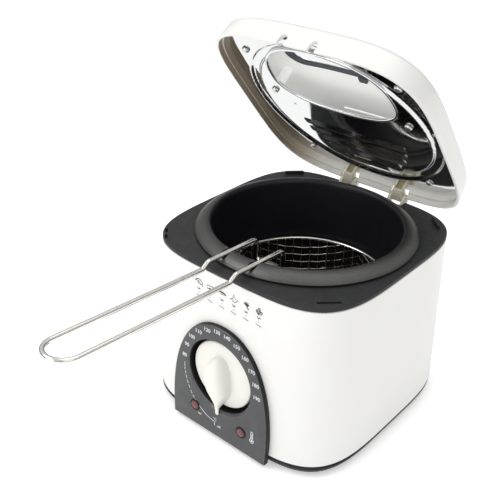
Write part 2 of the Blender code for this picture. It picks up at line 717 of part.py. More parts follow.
# ---------------------------------------------------------------- basket
def build_basket():
    wall, bend = 0.0006, 0.0100
    arc = [math.radians(18 * i) for i in range(6)]
    outside = [(BASKET_RADIUS - bend + bend * math.sin(a), BASKET_LOW + bend - bend * math.cos(a))
               for a in arc]
    inside = [(BASKET_RADIUS - bend + (bend - wall) * math.sin(a),
               BASKET_LOW + bend - (bend - wall) * math.cos(a)) for a in arc]
    add("basket_mesh", turned("basket_mesh", [
        (0, BASKET_LOW), *outside, (BASKET_RADIUS, BASKET_HIGH),
        (BASKET_RADIUS - wall, BASKET_HIGH), *reversed(inside), (0, BASKET_LOW + wall)]), steel())
    ring = [(RING_RADIUS + RING_WIRE * math.cos(a), RING_Z + RING_WIRE * math.sin(a))
            for a in (math.radians(60 * i) for i in range(6))]
    add("basket_rim_ring", turned("basket_rim_ring", ring, 48, ring=True), steel())
    sleeve = turned("sleeve", [(0.0024, -0.0092), (0.0036, -0.0092), (0.0036, 0.0092),
                               (0.0024, 0.0092)], 24, ring=True)
    add("handle_sleeve", across(sleeve, (0, PIVOT_Y, PIVOT_Z)), steel())
    side, near = 0.0080, -0.0702
    path = [(-side, PIVOT_Y, PIVOT_Z - 0.0040), (-side, PIVOT_Y, 0.1330), (-side, near, 0.1120),
            (-side, near, 0.0860), (side, near, 0.0860), (side, near, 0.1120),
            (side, PIVOT_Y, 0.1330), (side, PIVOT_Y, PIVOT_Z - 0.0040)]
    wire("basket_bracket", rounded_path(path, [0.006, 0.006, 0.003, 0.003, 0.006, 0.006], 4),
         0.0015, steel())


def build_handle():
    pivot = pivot_empty("handle_axis", (0, PIVOT_Y, PIVOT_Z))
    w = WIRE_HALF_GAP
    bow = w
    half = [(0.0012, PIVOT_Y, PIVOT_Z), (w, PIVOT_Y, PIVOT_Z), (w, PIVOT_Y, 0.1662),
            (w, -0.1062, 0.1692), (w, -0.1130, 0.1648), (w, HANDLE_END, 0.1750)]
    run = rounded_path(half, [0.0040, 0.0055, 0.0050, 0.0050], 5)
    slope = (0.1750 - 0.1648) / (HANDLE_END + 0.1130)
    end = [(w * math.cos(a), HANDLE_END - bow * math.sin(a), 0.1750 - slope * bow * math.sin(a))
           for a in (math.pi * i / 16 for i in range(1, 16))]
    other = [(-x, y, z) for x, y, z in reversed(run)]
    wire("basket_handle", [tuple(p) for p in run] + end + other, HANDLE_WIRE, steel(), pivot)


def main():
    clear_scene()
    build_housing()
    build_base()
    build_deck()
    build_pot()
    build_heater()
    build_panel()
    build_lamps()
    build_knob()
    lid = pivot_empty("lid_axis", (0, HINGE_Y, HINGE_Z), -LID_OPEN)
    build_lid(lid)
    build_window(lid)
    build_plate(lid)
    build_hinge(lid)
    build_basket()
    build_handle()
    for item in bpy.data.objects:
        if not item.parent:
            item.location.y += FRAME_SHIFT


main()
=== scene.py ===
"""Looks of a compact deep fryer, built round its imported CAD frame.  Metres, +Z up, front -Y."""
import json
import math

import bmesh
import bpy
from mathutils import Matrix, Vector


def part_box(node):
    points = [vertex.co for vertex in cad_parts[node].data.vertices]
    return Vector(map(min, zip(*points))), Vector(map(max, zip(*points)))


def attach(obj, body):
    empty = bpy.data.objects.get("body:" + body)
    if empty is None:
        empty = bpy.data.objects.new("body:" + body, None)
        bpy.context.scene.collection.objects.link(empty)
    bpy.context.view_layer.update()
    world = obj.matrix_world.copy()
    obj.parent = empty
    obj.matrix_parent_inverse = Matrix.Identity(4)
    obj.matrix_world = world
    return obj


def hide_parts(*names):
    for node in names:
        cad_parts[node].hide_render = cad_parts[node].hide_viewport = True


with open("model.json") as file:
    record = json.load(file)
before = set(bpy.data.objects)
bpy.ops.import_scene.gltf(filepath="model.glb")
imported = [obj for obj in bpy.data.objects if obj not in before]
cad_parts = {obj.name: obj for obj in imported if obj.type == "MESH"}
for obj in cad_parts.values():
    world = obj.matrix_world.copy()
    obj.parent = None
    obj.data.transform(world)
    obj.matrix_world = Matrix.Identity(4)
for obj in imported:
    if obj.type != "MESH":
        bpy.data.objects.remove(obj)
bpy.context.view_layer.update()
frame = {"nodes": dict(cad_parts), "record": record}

# ---------------------------------------------------------------- places taken from the frame
JOINT = {j["name"]: j for j in frame["record"]["behaviour"]["joints"]}
HINGE = Vector(JOINT["lid_hinge"]["pos_m"])
LID_OPEN = -math.radians(JOINT["lid_hinge"]["range_deg"][0])
PIVOT = Vector(JOINT["handle_fold"]["pos_m"])
KNOB = Vector(JOINT["knob_turn"]["pos_m"])
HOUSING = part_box("housing_shell")
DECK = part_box("top_deck")
MIDDLE_Y = (HOUSING[0].y + HOUSING[1].y) / 2
HALF_X = DECK[1].x
HALF_Y = 0.1027
FLARE = HOUSING[1].x / HALF_X - 1
HOUSING_LOW, HOUSING_HIGH = HOUSING[0].z, HOUSING[1].z
DECK_TOP = 0.1616
DECK_LOW = HOUSING_HIGH + 0.0003
PLAN_POWER = 4.15
WALL = 0.0025

LID_RIM = DECK_TOP + 0.0010
LID_POWER = 4.4
SKIRT, SKIRT_SCALE, DOME = 0.0165, 0.985, 0.0215
PLATE_Z = LID_RIM + 0.0095
HINGE_X = 0.0270
WIRE_X = 0.0140

PLACE = Matrix.Translation((0, MIDDLE_Y, 0))
HINGE_HOME = Vector((0, HINGE.y - MIDDLE_Y, HINGE.z))
LID_PLACE = (Matrix.Translation(HINGE) @ Matrix.Rotation(-LID_OPEN, 4, "X")
             @ Matrix.Translation(-HINGE_HOME))


# ---------------------------------------------------------------- materials
class Surface:
    """A Principled material built from nodes, with helpers for grain and colour drift."""

    def __init__(self, name, colour, roughness, metallic=0.0, **extra):
        self.made = bpy.data.materials.new(name)
        self.made.use_nodes = True
        self.tree = self.made.node_tree
        self.shader = self.tree.nodes["Principled BSDF"]
        self.colour = colour
        self.put("Base Color", (*colour, 1.0))
        self.put("Roughness", roughness)
        self.put("Metallic", metallic)
        for key, value in extra.items():
            self.put(key.replace("_", " "), value)
        self.coords = self.node("ShaderNodeTexCoord").outputs["Object"]
        self.normal = None

    def put(self, socket, value):
        self.shader.inputs[socket].default_value = value

    def node(self, kind, **values):
        made = self.tree.nodes.new(kind)
        for key, value in values.items():
            setattr(made, key, value)
        return made

    def link(self, out, into):
        self.tree.links.new(out, into)

    def noise(self, scale, detail=4.0, rough=0.6, stretch=None):
        noise = self.node("ShaderNodeTexNoise")
        noise.inputs["Scale"].default_value = scale
        noise.inputs["Detail"].default_value = detail
        noise.inputs["Roughness"].default_value = rough
        source = self.coords
        if stretch:
            mapping = self.node("ShaderNodeMapping")
            mapping.inputs["Scale"].default_value = stretch
            self.link(source, mapping.inputs["Vector"])
            source = mapping.outputs["Vector"]
        self.link(source, noise.inputs["Vector"])
        return noise.outputs["Fac"]

    def ramp(self, value, stops):
        ramp = self.node("ShaderNodeValToRGB")
        marks = ramp.color_ramp.elements
        while len(marks) < len(stops):
            marks.new(0.5)
        for mark, (place, shade) in zip(marks, stops):
            mark.position = place
            mark.color = (*shade, 1.0) if len(shade) == 3 else shade
        self.link(value, ramp.inputs["Fac"])
        return ramp.outputs["Color"]

    def spread(self, value, low, high):
        spread = self.node("ShaderNodeMapRange")
        spread.inputs["From Min"].default_value = 0.3
        spread.inputs["From Max"].default_value = 0.7
        spread.inputs["To Min"].default_value = low
        spread.inputs["To Max"].default_value = high
        self.link(value, spread.inputs["Value"])
        return spread.outputs["Result"]

    def mottle(self, scale, amount, warm=0.0):
        """Colour drift: darker patches, a little warmer by warm."""
        dark = [c * (1 - amount) * (1 + w) for c, w in zip(self.colour, (warm, 0, -warm))]
        shade = self.ramp(self.noise(scale), ((0.35, tuple(dark)), (0.65, self.colour)))
        self.link(shade, self.shader.inputs["Base Color"])
        return self

    def rough(self, scale, low, high, stretch=None):
        value = self.spread(self.noise(scale, stretch=stretch), low, high)
        self.link(value, self.shader.inputs["Roughness"])
        return self

    def bump(self, scale, depth, detail=3.0, strength=1.0, stretch=None):
        bump = self.node("ShaderNodeBump")
        bump.inputs["Strength"].default_value = strength
        bump.inputs["Distance"].default_value = depth
        self.link(self.noise(scale, detail, stretch=stretch), bump.inputs["Height"])
        if self.normal:
            self.link(self.normal, bump.inputs["Normal"])
        self.normal = bump.outputs["Normal"]
        self.link(self.normal, self.shader.inputs["Normal"])
        return self


def make_materials():
    made = {}
    white = Surface("white_gloss", (0.79, 0.79, 0.77), 0.32, Coat_Weight=0.10, Coat_Roughness=0.12)
    made["white"] = white.mottle(14, 0.02, 0.01).rough(60, 0.28, 0.36).bump(900, 0.00002)
    made["skirt"] = skirt_material()
    # Painted light: the lid's inner roof glows with emission, standing in for light bounced into the lid.
    ceiling = Surface("ceiling_white_painted_glow", (0.86, 0.86, 0.84), 0.5, Emission_Color=(1, 1, 0.98, 1),
                      Emission_Strength=0.30)
    made["ceiling"] = ceiling.mottle(20, 0.02).bump(900, 0.00002)
    deck = Surface("deck_dark", (0.027, 0.0275, 0.029), 0.5, Specular_IOR_Level=0.25)
    made["deck"] = deck.mottle(120, 0.18).rough(300, 0.42, 0.56).bump(2600, 0.00005)
    panel = Surface("panel_dark", (0.068, 0.069, 0.072), 0.45, Specular_IOR_Level=0.35)
    made["panel"] = panel.mottle(90, 0.10).rough(300, 0.40, 0.52).bump(3200, 0.00003)
    # Painted highlight: a lighter, glossier grey given only to the panel's top-right bevel, standing in for
    # the specular line along that edge.
    edge = Surface("panel_edge_painted_highlight", (0.10, 0.10, 0.105), 0.22)
    made["edge"] = edge.mottle(300, 0.2).rough(400, 0.18, 0.3)
    # Painted shade: near black for the panel's side wall, the knob well and screw recesses, which sit in
    # shade. The lamp bezels use it as plain black.
    well = Surface("panel_side_black_and_painted_shade", (0.010, 0.010, 0.011), 0.45, Specular_IOR_Level=0.25)
    made["side"] = well.mottle(200, 0.2).bump(1600, 0.00005)
    black = Surface("base_black", (0.020, 0.020, 0.021), 0.42, Specular_IOR_Level=0.35)
    made["black"] = black.mottle(80, 0.2).rough(200, 0.44, 0.6).bump(1800, 0.00004)
    rubber = Surface("rubber_black", (0.028, 0.028, 0.028), 0.8)
    made["rubber"] = rubber.mottle(200, 0.2).bump(3000, 0.00005)
    gasket = Surface("gasket_grey", (0.09, 0.105, 0.115), 0.6)
    made["gasket"] = gasket.mottle(160, 0.15).bump(2500, 0.00004)
    chrome = Surface("wire_bright", (0.78, 0.77, 0.745), 0.12, 1.0)
    made["chrome"] = chrome.mottle(260, 0.08, 0.03).rough(500, 0.08, 0.18).bump(1600, 0.00001)
    # Painted shade: a dark copy of the bright wire steel for the basket frame wire and the handle's pivot
    # sleeve, which sit in shade.
    dull = Surface("wire_shaded", (0.16, 0.155, 0.145), 0.35, 1.0)
    made["dull"] = dull.mottle(300, 0.3).rough(500, 0.3, 0.45)
    mesh = Surface("mesh_wire", (0.66, 0.63, 0.55), 0.24, 1.0)
    made["mesh"] = mesh.mottle(300, 0.25, 0.05).rough(500, 0.18, 0.34)
    mirror = Surface("mirror_plate", (0.66, 0.67, 0.67), 0.05, 1.0)
    mirror.mottle(30, 0.03).rough(40, 0.03, 0.08)
    made["mirror"] = mirror.bump(22, 0.0004, detail=1.0)
    louvre = Surface("mirror_louvre", (0.66, 0.66, 0.64), 0.14, 1.0)
    made["louvre"] = louvre.mottle(60, 0.05).rough(60, 0.10, 0.18)
    screw = Surface("zinc_screw", (0.66, 0.66, 0.65), 0.25, 1.0)
    made["screw"] = screw.mottle(700, 0.2).rough(900, 0.2, 0.38)
    made["pot"] = pot_material()
    cut = Surface("bare_cut_edge", (0.72, 0.72, 0.70), 0.3, 1.0)
    made["cut"] = cut.rough(900, 0.25, 0.45)
    knob = Surface("knob_cream", (0.80, 0.79, 0.745), 0.4, Subsurface_Weight=0.08,
                   Subsurface_Radius=(0.002, 0.0018, 0.0014))
    made["knob"] = knob.mottle(40, 0.03, 0.02).rough(150, 0.34, 0.46).bump(1400, 0.00002)
    lens = Surface("lens_red", (0.17, 0.045, 0.035), 0.4, Coat_Weight=0.15)
    made["lens"] = lens.mottle(500, 0.25).bump(1500, 0.00003)
    glass = Surface("window_clear", (0.97, 0.98, 0.98), 0.03, Transmission_Weight=1.0, IOR=1.45)
    made["glass"] = glass.rough(60, 0.01, 0.04)
    arm = Surface("arm_cream", (0.78, 0.76, 0.62), 0.3)
    made["arm"] = arm.mottle(160, 0.12, 0.04).rough(300, 0.28, 0.42)
    # Painted shade: tan darkening for the recessed web of the hinge arms, where shade falls between the
    # ribs.
    tan = Surface("arm_tan_painted_shade", (0.40, 0.34, 0.21), 0.42)
    made["tan"] = tan.mottle(200, 0.2, 0.05).rough(300, 0.34, 0.5)
    plain = Surface("metal_plain", (0.55, 0.55, 0.54), 0.4, 1.0)
    made["plain"] = plain.mottle(60, 0.15).rough(120, 0.32, 0.5, (1, 8, 1))
    insulator = Surface("insulator", (0.72, 0.66, 0.50), 0.5)
    made["insulator"] = insulator.mottle(150, 0.1, 0.03).bump(1500, 0.00003)
    foam = Surface("filter_foam", (0.07, 0.07, 0.07), 0.95)
    made["foam"] = foam.mottle(900, 0.6).bump(700, 0.0006)
    light = Surface("print_light", (0.80, 0.81, 0.82), 0.5)
    made["print_light"] = light.mottle(1500, 0.15)
    dark = Surface("print_dark", (0.035, 0.035, 0.038), 0.5)
    made["print_dark"] = dark.mottle(1500, 0.3)
    return {key: value.made for key, value in made.items()}


def pot_material():
    """Dark coated metal: a radial ramp paints a grey sheen band across the lip and near-black painted shade
    inside the pot.
    """
    pot = Surface("pot_coating_painted_sheen_and_shade", (0.1, 0.1, 0.1), 0.4, 0.6)
    flat = pot.node("ShaderNodeVectorMath", operation="MULTIPLY")
    flat.inputs[1].default_value = (1, 1, 0)
    pot.link(pot.coords, flat.inputs[0])
    far = pot.node("ShaderNodeVectorMath", operation="DISTANCE")
    far.inputs[1].default_value = (0, MIDDLE_Y, 0)
    pot.link(flat.outputs["Vector"], far.inputs[0])
    reach = pot.node("ShaderNodeMapRange")
    reach.inputs["From Min"].default_value = 0.0780
    reach.inputs["From Max"].default_value = 0.0960
    pot.link(far.outputs["Value"], reach.inputs["Value"])
    # Painted light: near black inside the pot is painted shade, and the lighter band across the rolled lip,
    # dropping again at its outer edge, is a painted sheen.
    shade = pot.ramp(reach.outputs["Result"], (
        (0.0, (0.020, 0.019, 0.026)), (0.16, (0.022, 0.021, 0.026)), (0.32, (0.040, 0.040, 0.041)),
        (0.55, (0.085, 0.085, 0.081)), (0.80, (0.100, 0.100, 0.095)), (1.0, (0.060, 0.060, 0.058))))
    speck = pot.spread(pot.noise(1500), 0.75, 1.2)
    mix = pot.node("ShaderNodeVectorMath", operation="SCALE")
    pot.link(shade, mix.inputs[0])
    pot.link(speck, mix.inputs["Scale"])
    pot.link(mix.outputs["Vector"], pot.shader.inputs["Base Color"])
    return pot.rough(400, 0.34, 0.46).bump(2200, 0.00004)


def skirt_material():
    """Inside of the lid's skirt: white at the rear, with warm tan-brown painted shade along the left side.
    """
    skirt = Surface("skirt_inside_painted_shade", (0.80, 0.79, 0.75), 0.42)
    split = skirt.node("ShaderNodeSeparateXYZ")
    skirt.link(skirt.coords, split.inputs["Vector"])
    reach = skirt.node("ShaderNodeMapRange")
    reach.inputs["From Min"].default_value = -0.0960
    reach.inputs["From Max"].default_value = -0.0400
    skirt.link(split.outputs["X"], reach.inputs["Value"])
    # Painted shade: the ramp along x darkens the skirt's inside to tan-brown towards the left side and
    # leaves it white towards the rear and right.
    shade = skirt.ramp(reach.outputs["Result"], (
        (0.0, (0.26, 0.21, 0.15)), (0.25, (0.40, 0.345, 0.27)), (0.6, (0.66, 0.63, 0.57)),
        (1.0, (0.80, 0.79, 0.75))))
    speck = skirt.spread(skirt.noise(60), 0.94, 1.03)
    mix = skirt.node("ShaderNodeVectorMath", operation="SCALE")
    skirt.link(shade, mix.inputs[0])
    skirt.link(speck, mix.inputs["Scale"])
    skirt.link(mix.outputs["Vector"], skirt.shader.inputs["Base Color"])
    return skirt.rough(80, 0.36, 0.48).bump(900, 0.00002)


# ---------------------------------------------------------------- mesh helpers
def sharpen(mesh, angle=34):
    mesh.shade_smooth()
    mesh.set_sharp_from_angle(angle=math.radians(angle))
    return mesh


def to_mesh(name, shape, angle=34):
    bmesh.ops.recalc_face_normals(shape, faces=shape.faces)
    mesh = bpy.data.meshes.new(name)
    shape.to_mesh(mesh)
    shape.free()
    return sharpen(mesh, angle)


def loft(name, loops, ring=False, angle=34):
    shape = bmesh.new()
    rows = [[shape.verts.new(point) for point in loop] for loop in loops]
    pairs = list(zip(rows, rows[1:]))
    if ring:
        pairs.append((rows[-1], rows[0]))
    for one, two in pairs:
        for i in range(len(one)):
            j = (i + 1) % len(one)
            shape.faces.new((one[i], one[j], two[j], two[i]))
    if not ring:
        shape.faces.new(rows[0])
        shape.faces.new(rows[-1])
    return to_mesh(name, shape, angle)


def turned(name, profile, segments=96, ring=False, angle=34):
    shape = bmesh.new()
    rows = []
    for radius, height in profile:
        if radius < 1e-6:
            rows.append([shape.verts.new((0, 0, height))])
            continue
        rows.append([shape.verts.new((radius * math.cos(a), radius * math.sin(a), height))
                     for a in (math.tau * i / segments for i in range(segments))])
    pairs = list(zip(rows, rows[1:]))
    if ring:
        pairs.append((rows[-1], rows[0]))
    for one, two in pairs:
        for i in range(segments):
            j = (i + 1) % segments
            around = [one[i % len(one)], one[j % len(one)], two[j % len(two)], two[i % len(two)]]
            around = list(dict.fromkeys(around))
            if len(around) > 2:
                shape.faces.new(around)
    return to_mesh(name, shape, angle)


def disc(radius, low, high):
    return [(0, low), (radius, low), (radius, high), (0, high)]


def along_y(mesh, place):
    mesh.transform(Matrix.Translation(Vector(place)) @ Matrix.Rotation(math.radians(90), 4, "X"))
    return mesh


def across(mesh, place):
    mesh.transform(Matrix.Translation(Vector(place)) @ Matrix.Rotation(math.radians(90), 4, "Y"))
    return mesh


def shifted(mesh, place, turn=0.0):
    mesh.transform(Matrix.Translation(Vector(place)) @ Matrix.Rotation(turn, 4, "Z"))
    return mesh


def box_mesh(name, *spans):
    shape = bmesh.new()
    for low, high in spans:
        size = [b - a for a, b in zip(low, high)]
        middle = [(a + b) / 2 for a, b in zip(low, high)]
        place = Matrix.Translation(middle) @ Matrix.Diagonal((*size, 1.0))
        bmesh.ops.create_cube(shape, size=1.0, matrix=place)
    return to_mesh(name, shape)


def prism(name, outline, low, high, axis="Z"):
    if axis == "Z":
        return loft(name, [[(x, y, h) for x, y in outline] for h in (low, high)])
    if axis == "X":
        return loft(name, [[(h, y, z) for y, z in outline] for h in (low, high)])
    return loft(name, [[(x, h, z) for x, z in outline] for h in (low, high)])


def joined(name, meshes):
    shape = bmesh.new()
    for mesh in meshes:
        shape.from_mesh(mesh)
    return to_mesh(name, shape)


def baked(item, name=None):
    """The object's mesh with its modifiers applied; the object itself is removed."""
    graph = bpy.context.evaluated_depsgraph_get()
    mesh = bpy.data.meshes.new_from_object(item.evaluated_get(graph))
    mesh.name = name or item.name
    bpy.data.objects.remove(item)
    return mesh


def placed(mesh):
    item = bpy.data.objects.new(mesh.name, mesh)
    bpy.context.scene.collection.objects.link(item)
    return item


def cut(mesh, *cutters, operation="DIFFERENCE", angle=34):
    """Boolean with each cutter in turn, applied."""
    for cutter in cutters:
        item, tool = placed(mesh), placed(cutter)
        step = item.modifiers.new("cut", "BOOLEAN")
        step.operation, step.solver, step.object = operation, "EXACT", tool
        step.material_mode = "TRANSFER"
        mesh = baked(item)
        bpy.data.objects.remove(tool)
    return sharpen(mesh, angle)


def bevelled(mesh, width, segments=2, limit=50, angle=34):
    item = placed(mesh)
    step = item.modifiers.new("edge", "BEVEL")
    step.width, step.segments = width, segments
    step.limit_method, step.angle_limit = "ANGLE", math.radians(limit)
    step.harden_normals = False
    return sharpen(baked(item), angle)


def smoothed(points, steps=6):
    """A Catmull-Rom line through 2-D or 3-D points."""
    points = [Vector(p) for p in points]
    line = []
    for i in range(len(points) - 1):
        before = points[max(0, i - 1)]
        one, two = points[i], points[i + 1]
        after = points[min(len(points) - 1, i + 2)]
        for k in range(steps):
            t = k / steps
            line.append(0.5 * ((2 * one) + (two - before) * t
                               + (2 * before - 5 * one + 4 * two - after) * t * t
                               + (3 * one - before - 3 * two + after) * t ** 3))
    line.append(points[-1])
    return line


def tube(name, points, radius, sides=12, closed=False):
    """A round tube round a path, with domed ends, as a mesh."""
    points = [Vector(p) for p in points]
    count = len(points)
    shape = bmesh.new()
    rows = []
    normal = None
    for i, point in enumerate(points):
        if closed:
            ahead = points[(i + 1) % count] - points[i - 1]
        else:
            ahead = points[min(i + 1, count - 1)] - points[max(i - 1, 0)]
        ahead.normalize()
        if normal is None:
            normal = ahead.orthogonal().normalized()
        normal = (normal - ahead * normal.dot(ahead)).normalized()
        side = ahead.cross(normal)
        rows.append([shape.verts.new(point + radius * (normal * math.cos(a) + side * math.sin(a)))
                     for a in (math.tau * k / sides for k in range(sides))])
    pairs = list(zip(rows, rows[1:]))
    if closed:
        first, last = rows[0], rows[-1]
        turn = min(range(sides), key=lambda k: (first[k].co - last[0].co).length)
        pairs.append((last, first[turn:] + first[:turn]))
    for one, two in pairs:
        for k in range(sides):
            j = (k + 1) % sides
            shape.faces.new((one[k], one[j], two[j], two[k]))
    if not closed:
        for row, at, way in ((rows[0], points[0], points[0] - points[1]),
                             (rows[-1], points[-1], points[-1] - points[-2])):
            tip = shape.verts.new(at + way.normalized() * radius * 0.45)
            for k in range(sides):
                shape.faces.new((row[k], row[(k + 1) % sides], tip))
    return to_mesh(name, shape, 60)


def piece(name, mesh, material, body, *nodes, slot=None, place=PLACE):
    """A finished piece: its material, the body it rides on and the nodes it stands for."""
    mesh.transform(place)
    mesh.name = name
    if material is not None:
        mesh.materials.clear()
        mesh.materials.append(material)
    item = bpy.data.objects.new(name, mesh)
    bpy.context.scene.collection.objects.link(item)
    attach(item, body)
    if nodes:
        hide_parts(*nodes)
    return item


def sorted_faces(mesh, materials, choose):
    """Give the mesh these materials; choose(face) says which one each face takes."""
    mesh.materials.clear()
    for material in materials:
        mesh.materials.append(material)
    for face in mesh.polygons:
        face.material_index = choose(face)
    return mesh


def plan(half_x, half_y, z, power=PLAN_POWER, count=224):
    loop = []
    for i in range(count):
        a = math.tau * (i + 0.5) / count
        c, s = math.cos(a), math.sin(a)
        scale = (abs(c / half_x) ** power + abs(s / half_y) ** power) ** (-1 / power)
        loop.append((c * scale, s * scale, z))
    return loop


def flare(z):
    return 1 + FLARE * (HOUSING_HIGH - z) / (HOUSING_HIGH - HOUSING_LOW)


def body_plan(z, inset=0.0):
    return plan(HALF_X * flare(z) - inset, HALF_Y * flare(z) - inset, z)


def face_y(z):
    """Front of the housing on the centre line at height z."""
    return -HALF_Y * flare(z)


def front_y(x, z):
    """Front of the housing at (x, z), with its curve."""
    grow = flare(z)
    return -HALF_Y * grow * (1 - abs(x / (HALF_X * grow)) ** PLAN_POWER) ** (1 / PLAN_POWER)


def arc_points(centre, radius, first, last, count):
    return [(centre[0] + radius * math.cos(a), centre[1] + radius * math.sin(a))
            for a in (math.radians(first + (last - first) * i / count) for i in range(count + 1))]


# ---------------------------------------------------------------- housing, base, deck
def build_housing(look):
    low, high = HOUSING_LOW, HOUSING_HIGH
    mesh = loft("housing", [
        body_plan(high, 0.0005), body_plan(high - 0.0005), body_plan(low + 0.0016),
        body_plan(low + 0.0006, 0.0003), body_plan(low, 0.0012), body_plan(low, WALL),
        body_plan(high, WALL)], ring=True)
    hole = along_y(turned("hole", disc(0.0372, 0.080, 0.120), 128), (0, 0, KNOB.z))
    gland = along_y(turned("hole", disc(0.0060, -0.115, -0.090), 48), (0.030, 0, 0.025))
    piece("housing", cut(mesh, hole, gland), look["white"], "fryer", "housing_shell",
          slot="white_shell")


def tray_plan(z, inset):
    """The base's outline: inset along the sides, close to the housing at its corners."""
    return plan(HALF_X * (1 + FLARE) - inset, HALF_Y * (1 + FLARE) - inset, z, 4.4)


def build_base(look):
    top = HOUSING_LOW - 0.0003
    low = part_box("base_plate")[0].z
    mesh = loft("base_tray", [
        tray_plan(low, 0.0052), tray_plan(low, 0.0046), tray_plan(low + 0.0005, 0.0040),
        tray_plan(low + 0.0016, 0.0032), tray_plan(low + 0.0036, 0.0029),
        tray_plan(low + 0.0042, 0.0014), tray_plan(top - 0.0018, 0.0010),
        tray_plan(top - 0.0012, 0.0024), tray_plan(top, 0.0024),
        body_plan(top, WALL + 0.0006), body_plan(0.0120, WALL + 0.0006),
        body_plan(0.0120, WALL + 0.0026), body_plan(0.0054, WALL + 0.0026)])
    slots = [((-0.030, y - 0.0020, 0.0), (0.030, y + 0.0020, 0.010))
             for y in (-0.045, -0.027, -0.009, 0.009, 0.027, 0.045)]
    mesh = bevelled(cut(mesh, box_mesh("slots", *slots)), 0.0004)
    piece("base_tray", mesh, look["black"], "fryer", "base_plate", slot="dark_plastic")


def build_deck(look):
    high, low = DECK_TOP, DECK_LOW
    hole = 0.0846

    def edge(inset, z):
        return plan(HALF_X - inset, HALF_Y - inset, z)

    def ring(radius, z, count=224):
        return [(radius * math.cos(a), radius * math.sin(a), z)
                for a in (math.tau * (i + 0.5) / count for i in range(count))]

    mesh = loft("deck", [
        edge(0.0004, low), edge(0, low + 0.0004), edge(0, high - 0.0014), edge(0.0002, high - 0.0008),
        edge(0.0007, high - 0.0002), edge(0.0014, high), ring(hole, high), ring(hole, high - 0.0030),
        edge(0.0052, high - 0.0030), edge(0.0052, 0.1510), edge(0.0030, 0.1510),
        edge(0.0030, low)], ring=True)
    notch = box_mesh("notch", ((-0.036, 0.0930, 0.1450), (0.036, 0.1080, 0.1700)))
    cuts = [notch]
    for x, y in ((-0.0805, -0.0865), (0.0815, -0.0800)):
        turn = math.radians(-45 if x * y > 0 else 45)
        spans = [((-0.009, -0.0012, high - 0.0024), (0.009, 0.0012, high + 0.0020))]
        if x < 0:
            spans = [((-0.0085, -0.0010, high - 0.0024), (-0.0020, 0.0010, high + 0.0020)),
                     ((0.0020, -0.0010, high - 0.0024), (0.0085, 0.0010, high + 0.0020))]
        cuts.append(shifted(box_mesh("slot", *spans), (x, y, 0), turn))
    mesh = cut(mesh, *cuts)
    piece("deck", mesh, look["deck"], "fryer", "top_deck", slot="dark_plastic")
    for word, x in (("left", -0.0775), ("right", 0.0775)):
        turn = math.radians(45 if x < 0 else -45)
        tab = box_mesh("tab", ((-0.009, -0.0012, high - 0.0005), (0.009, 0.0012, high + 0.0027)))
        tab = shifted(bevelled(tab, 0.0004, 3), (x, 0.0830, 0), turn)
        piece(f"deck_tab_{word}", tab, look["black"], "fryer", slot="dark_plastic")


# ---------------------------------------------------------------- pot
def build_pot(look):
    top, edge, inner = DECK_TOP + 0.0089, 0.0946, 0.0798
    floor, wall, fillet = 0.0550, 0.0014, 0.0130
    outer = inner + wall
    bend_in = arc_points((inner - 0.0008 - fillet, floor + fillet), fillet, 0, -90, 12)
    bend_out = arc_points((outer - 0.0008 - fillet, floor - wall + fillet), fillet, -90, 0, 12)
    under = smoothed([(outer, top - 0.0110), (outer + 0.0006, top - 0.0042), (0.0836, top - 0.0018),
                      (0.0868, top - 0.0024), (0.0902, top - 0.0044), (edge - 0.0013, top - 0.0074)], 5)
    over = smoothed([(edge - 0.0002, top - 0.0068), (0.0926, top - 0.0047), (0.0897, top - 0.0024),
                     (0.0866, top - 0.0009), (0.0836, top), (0.0817, top - 0.0008),
                     (inner + 0.0006, top - 0.0036), (inner, top - 0.0100)], 6)
    profile = [(0, floor - wall), *bend_out, *[tuple(p) for p in under],
               (edge - 0.0005, top - 0.0075), *[tuple(p) for p in over], *bend_in, (0, floor)]
    mesh = turned("pot", profile, 192)
    mesh.materials.append(look["pot"])
    half, low = 0.0036, DECK_TOP + 0.0033
    slots = []
    for side in (-1, 1):
        x = side * WIRE_X
        outline = [(x + half, 0.180), (x + half, low + half)]
        outline += arc_points((x, low + half), half, 0, -180, 10)[1:]
        outline.append((x - half, 0.180))
        slot = prism("slot", outline, -0.098, -0.076, "Y")
        slot.materials.append(look["cut"])
        slots.append(slot)
    piece("pot", cut(mesh, *slots), None, "fryer", "inner_pot", slot="nonstick")


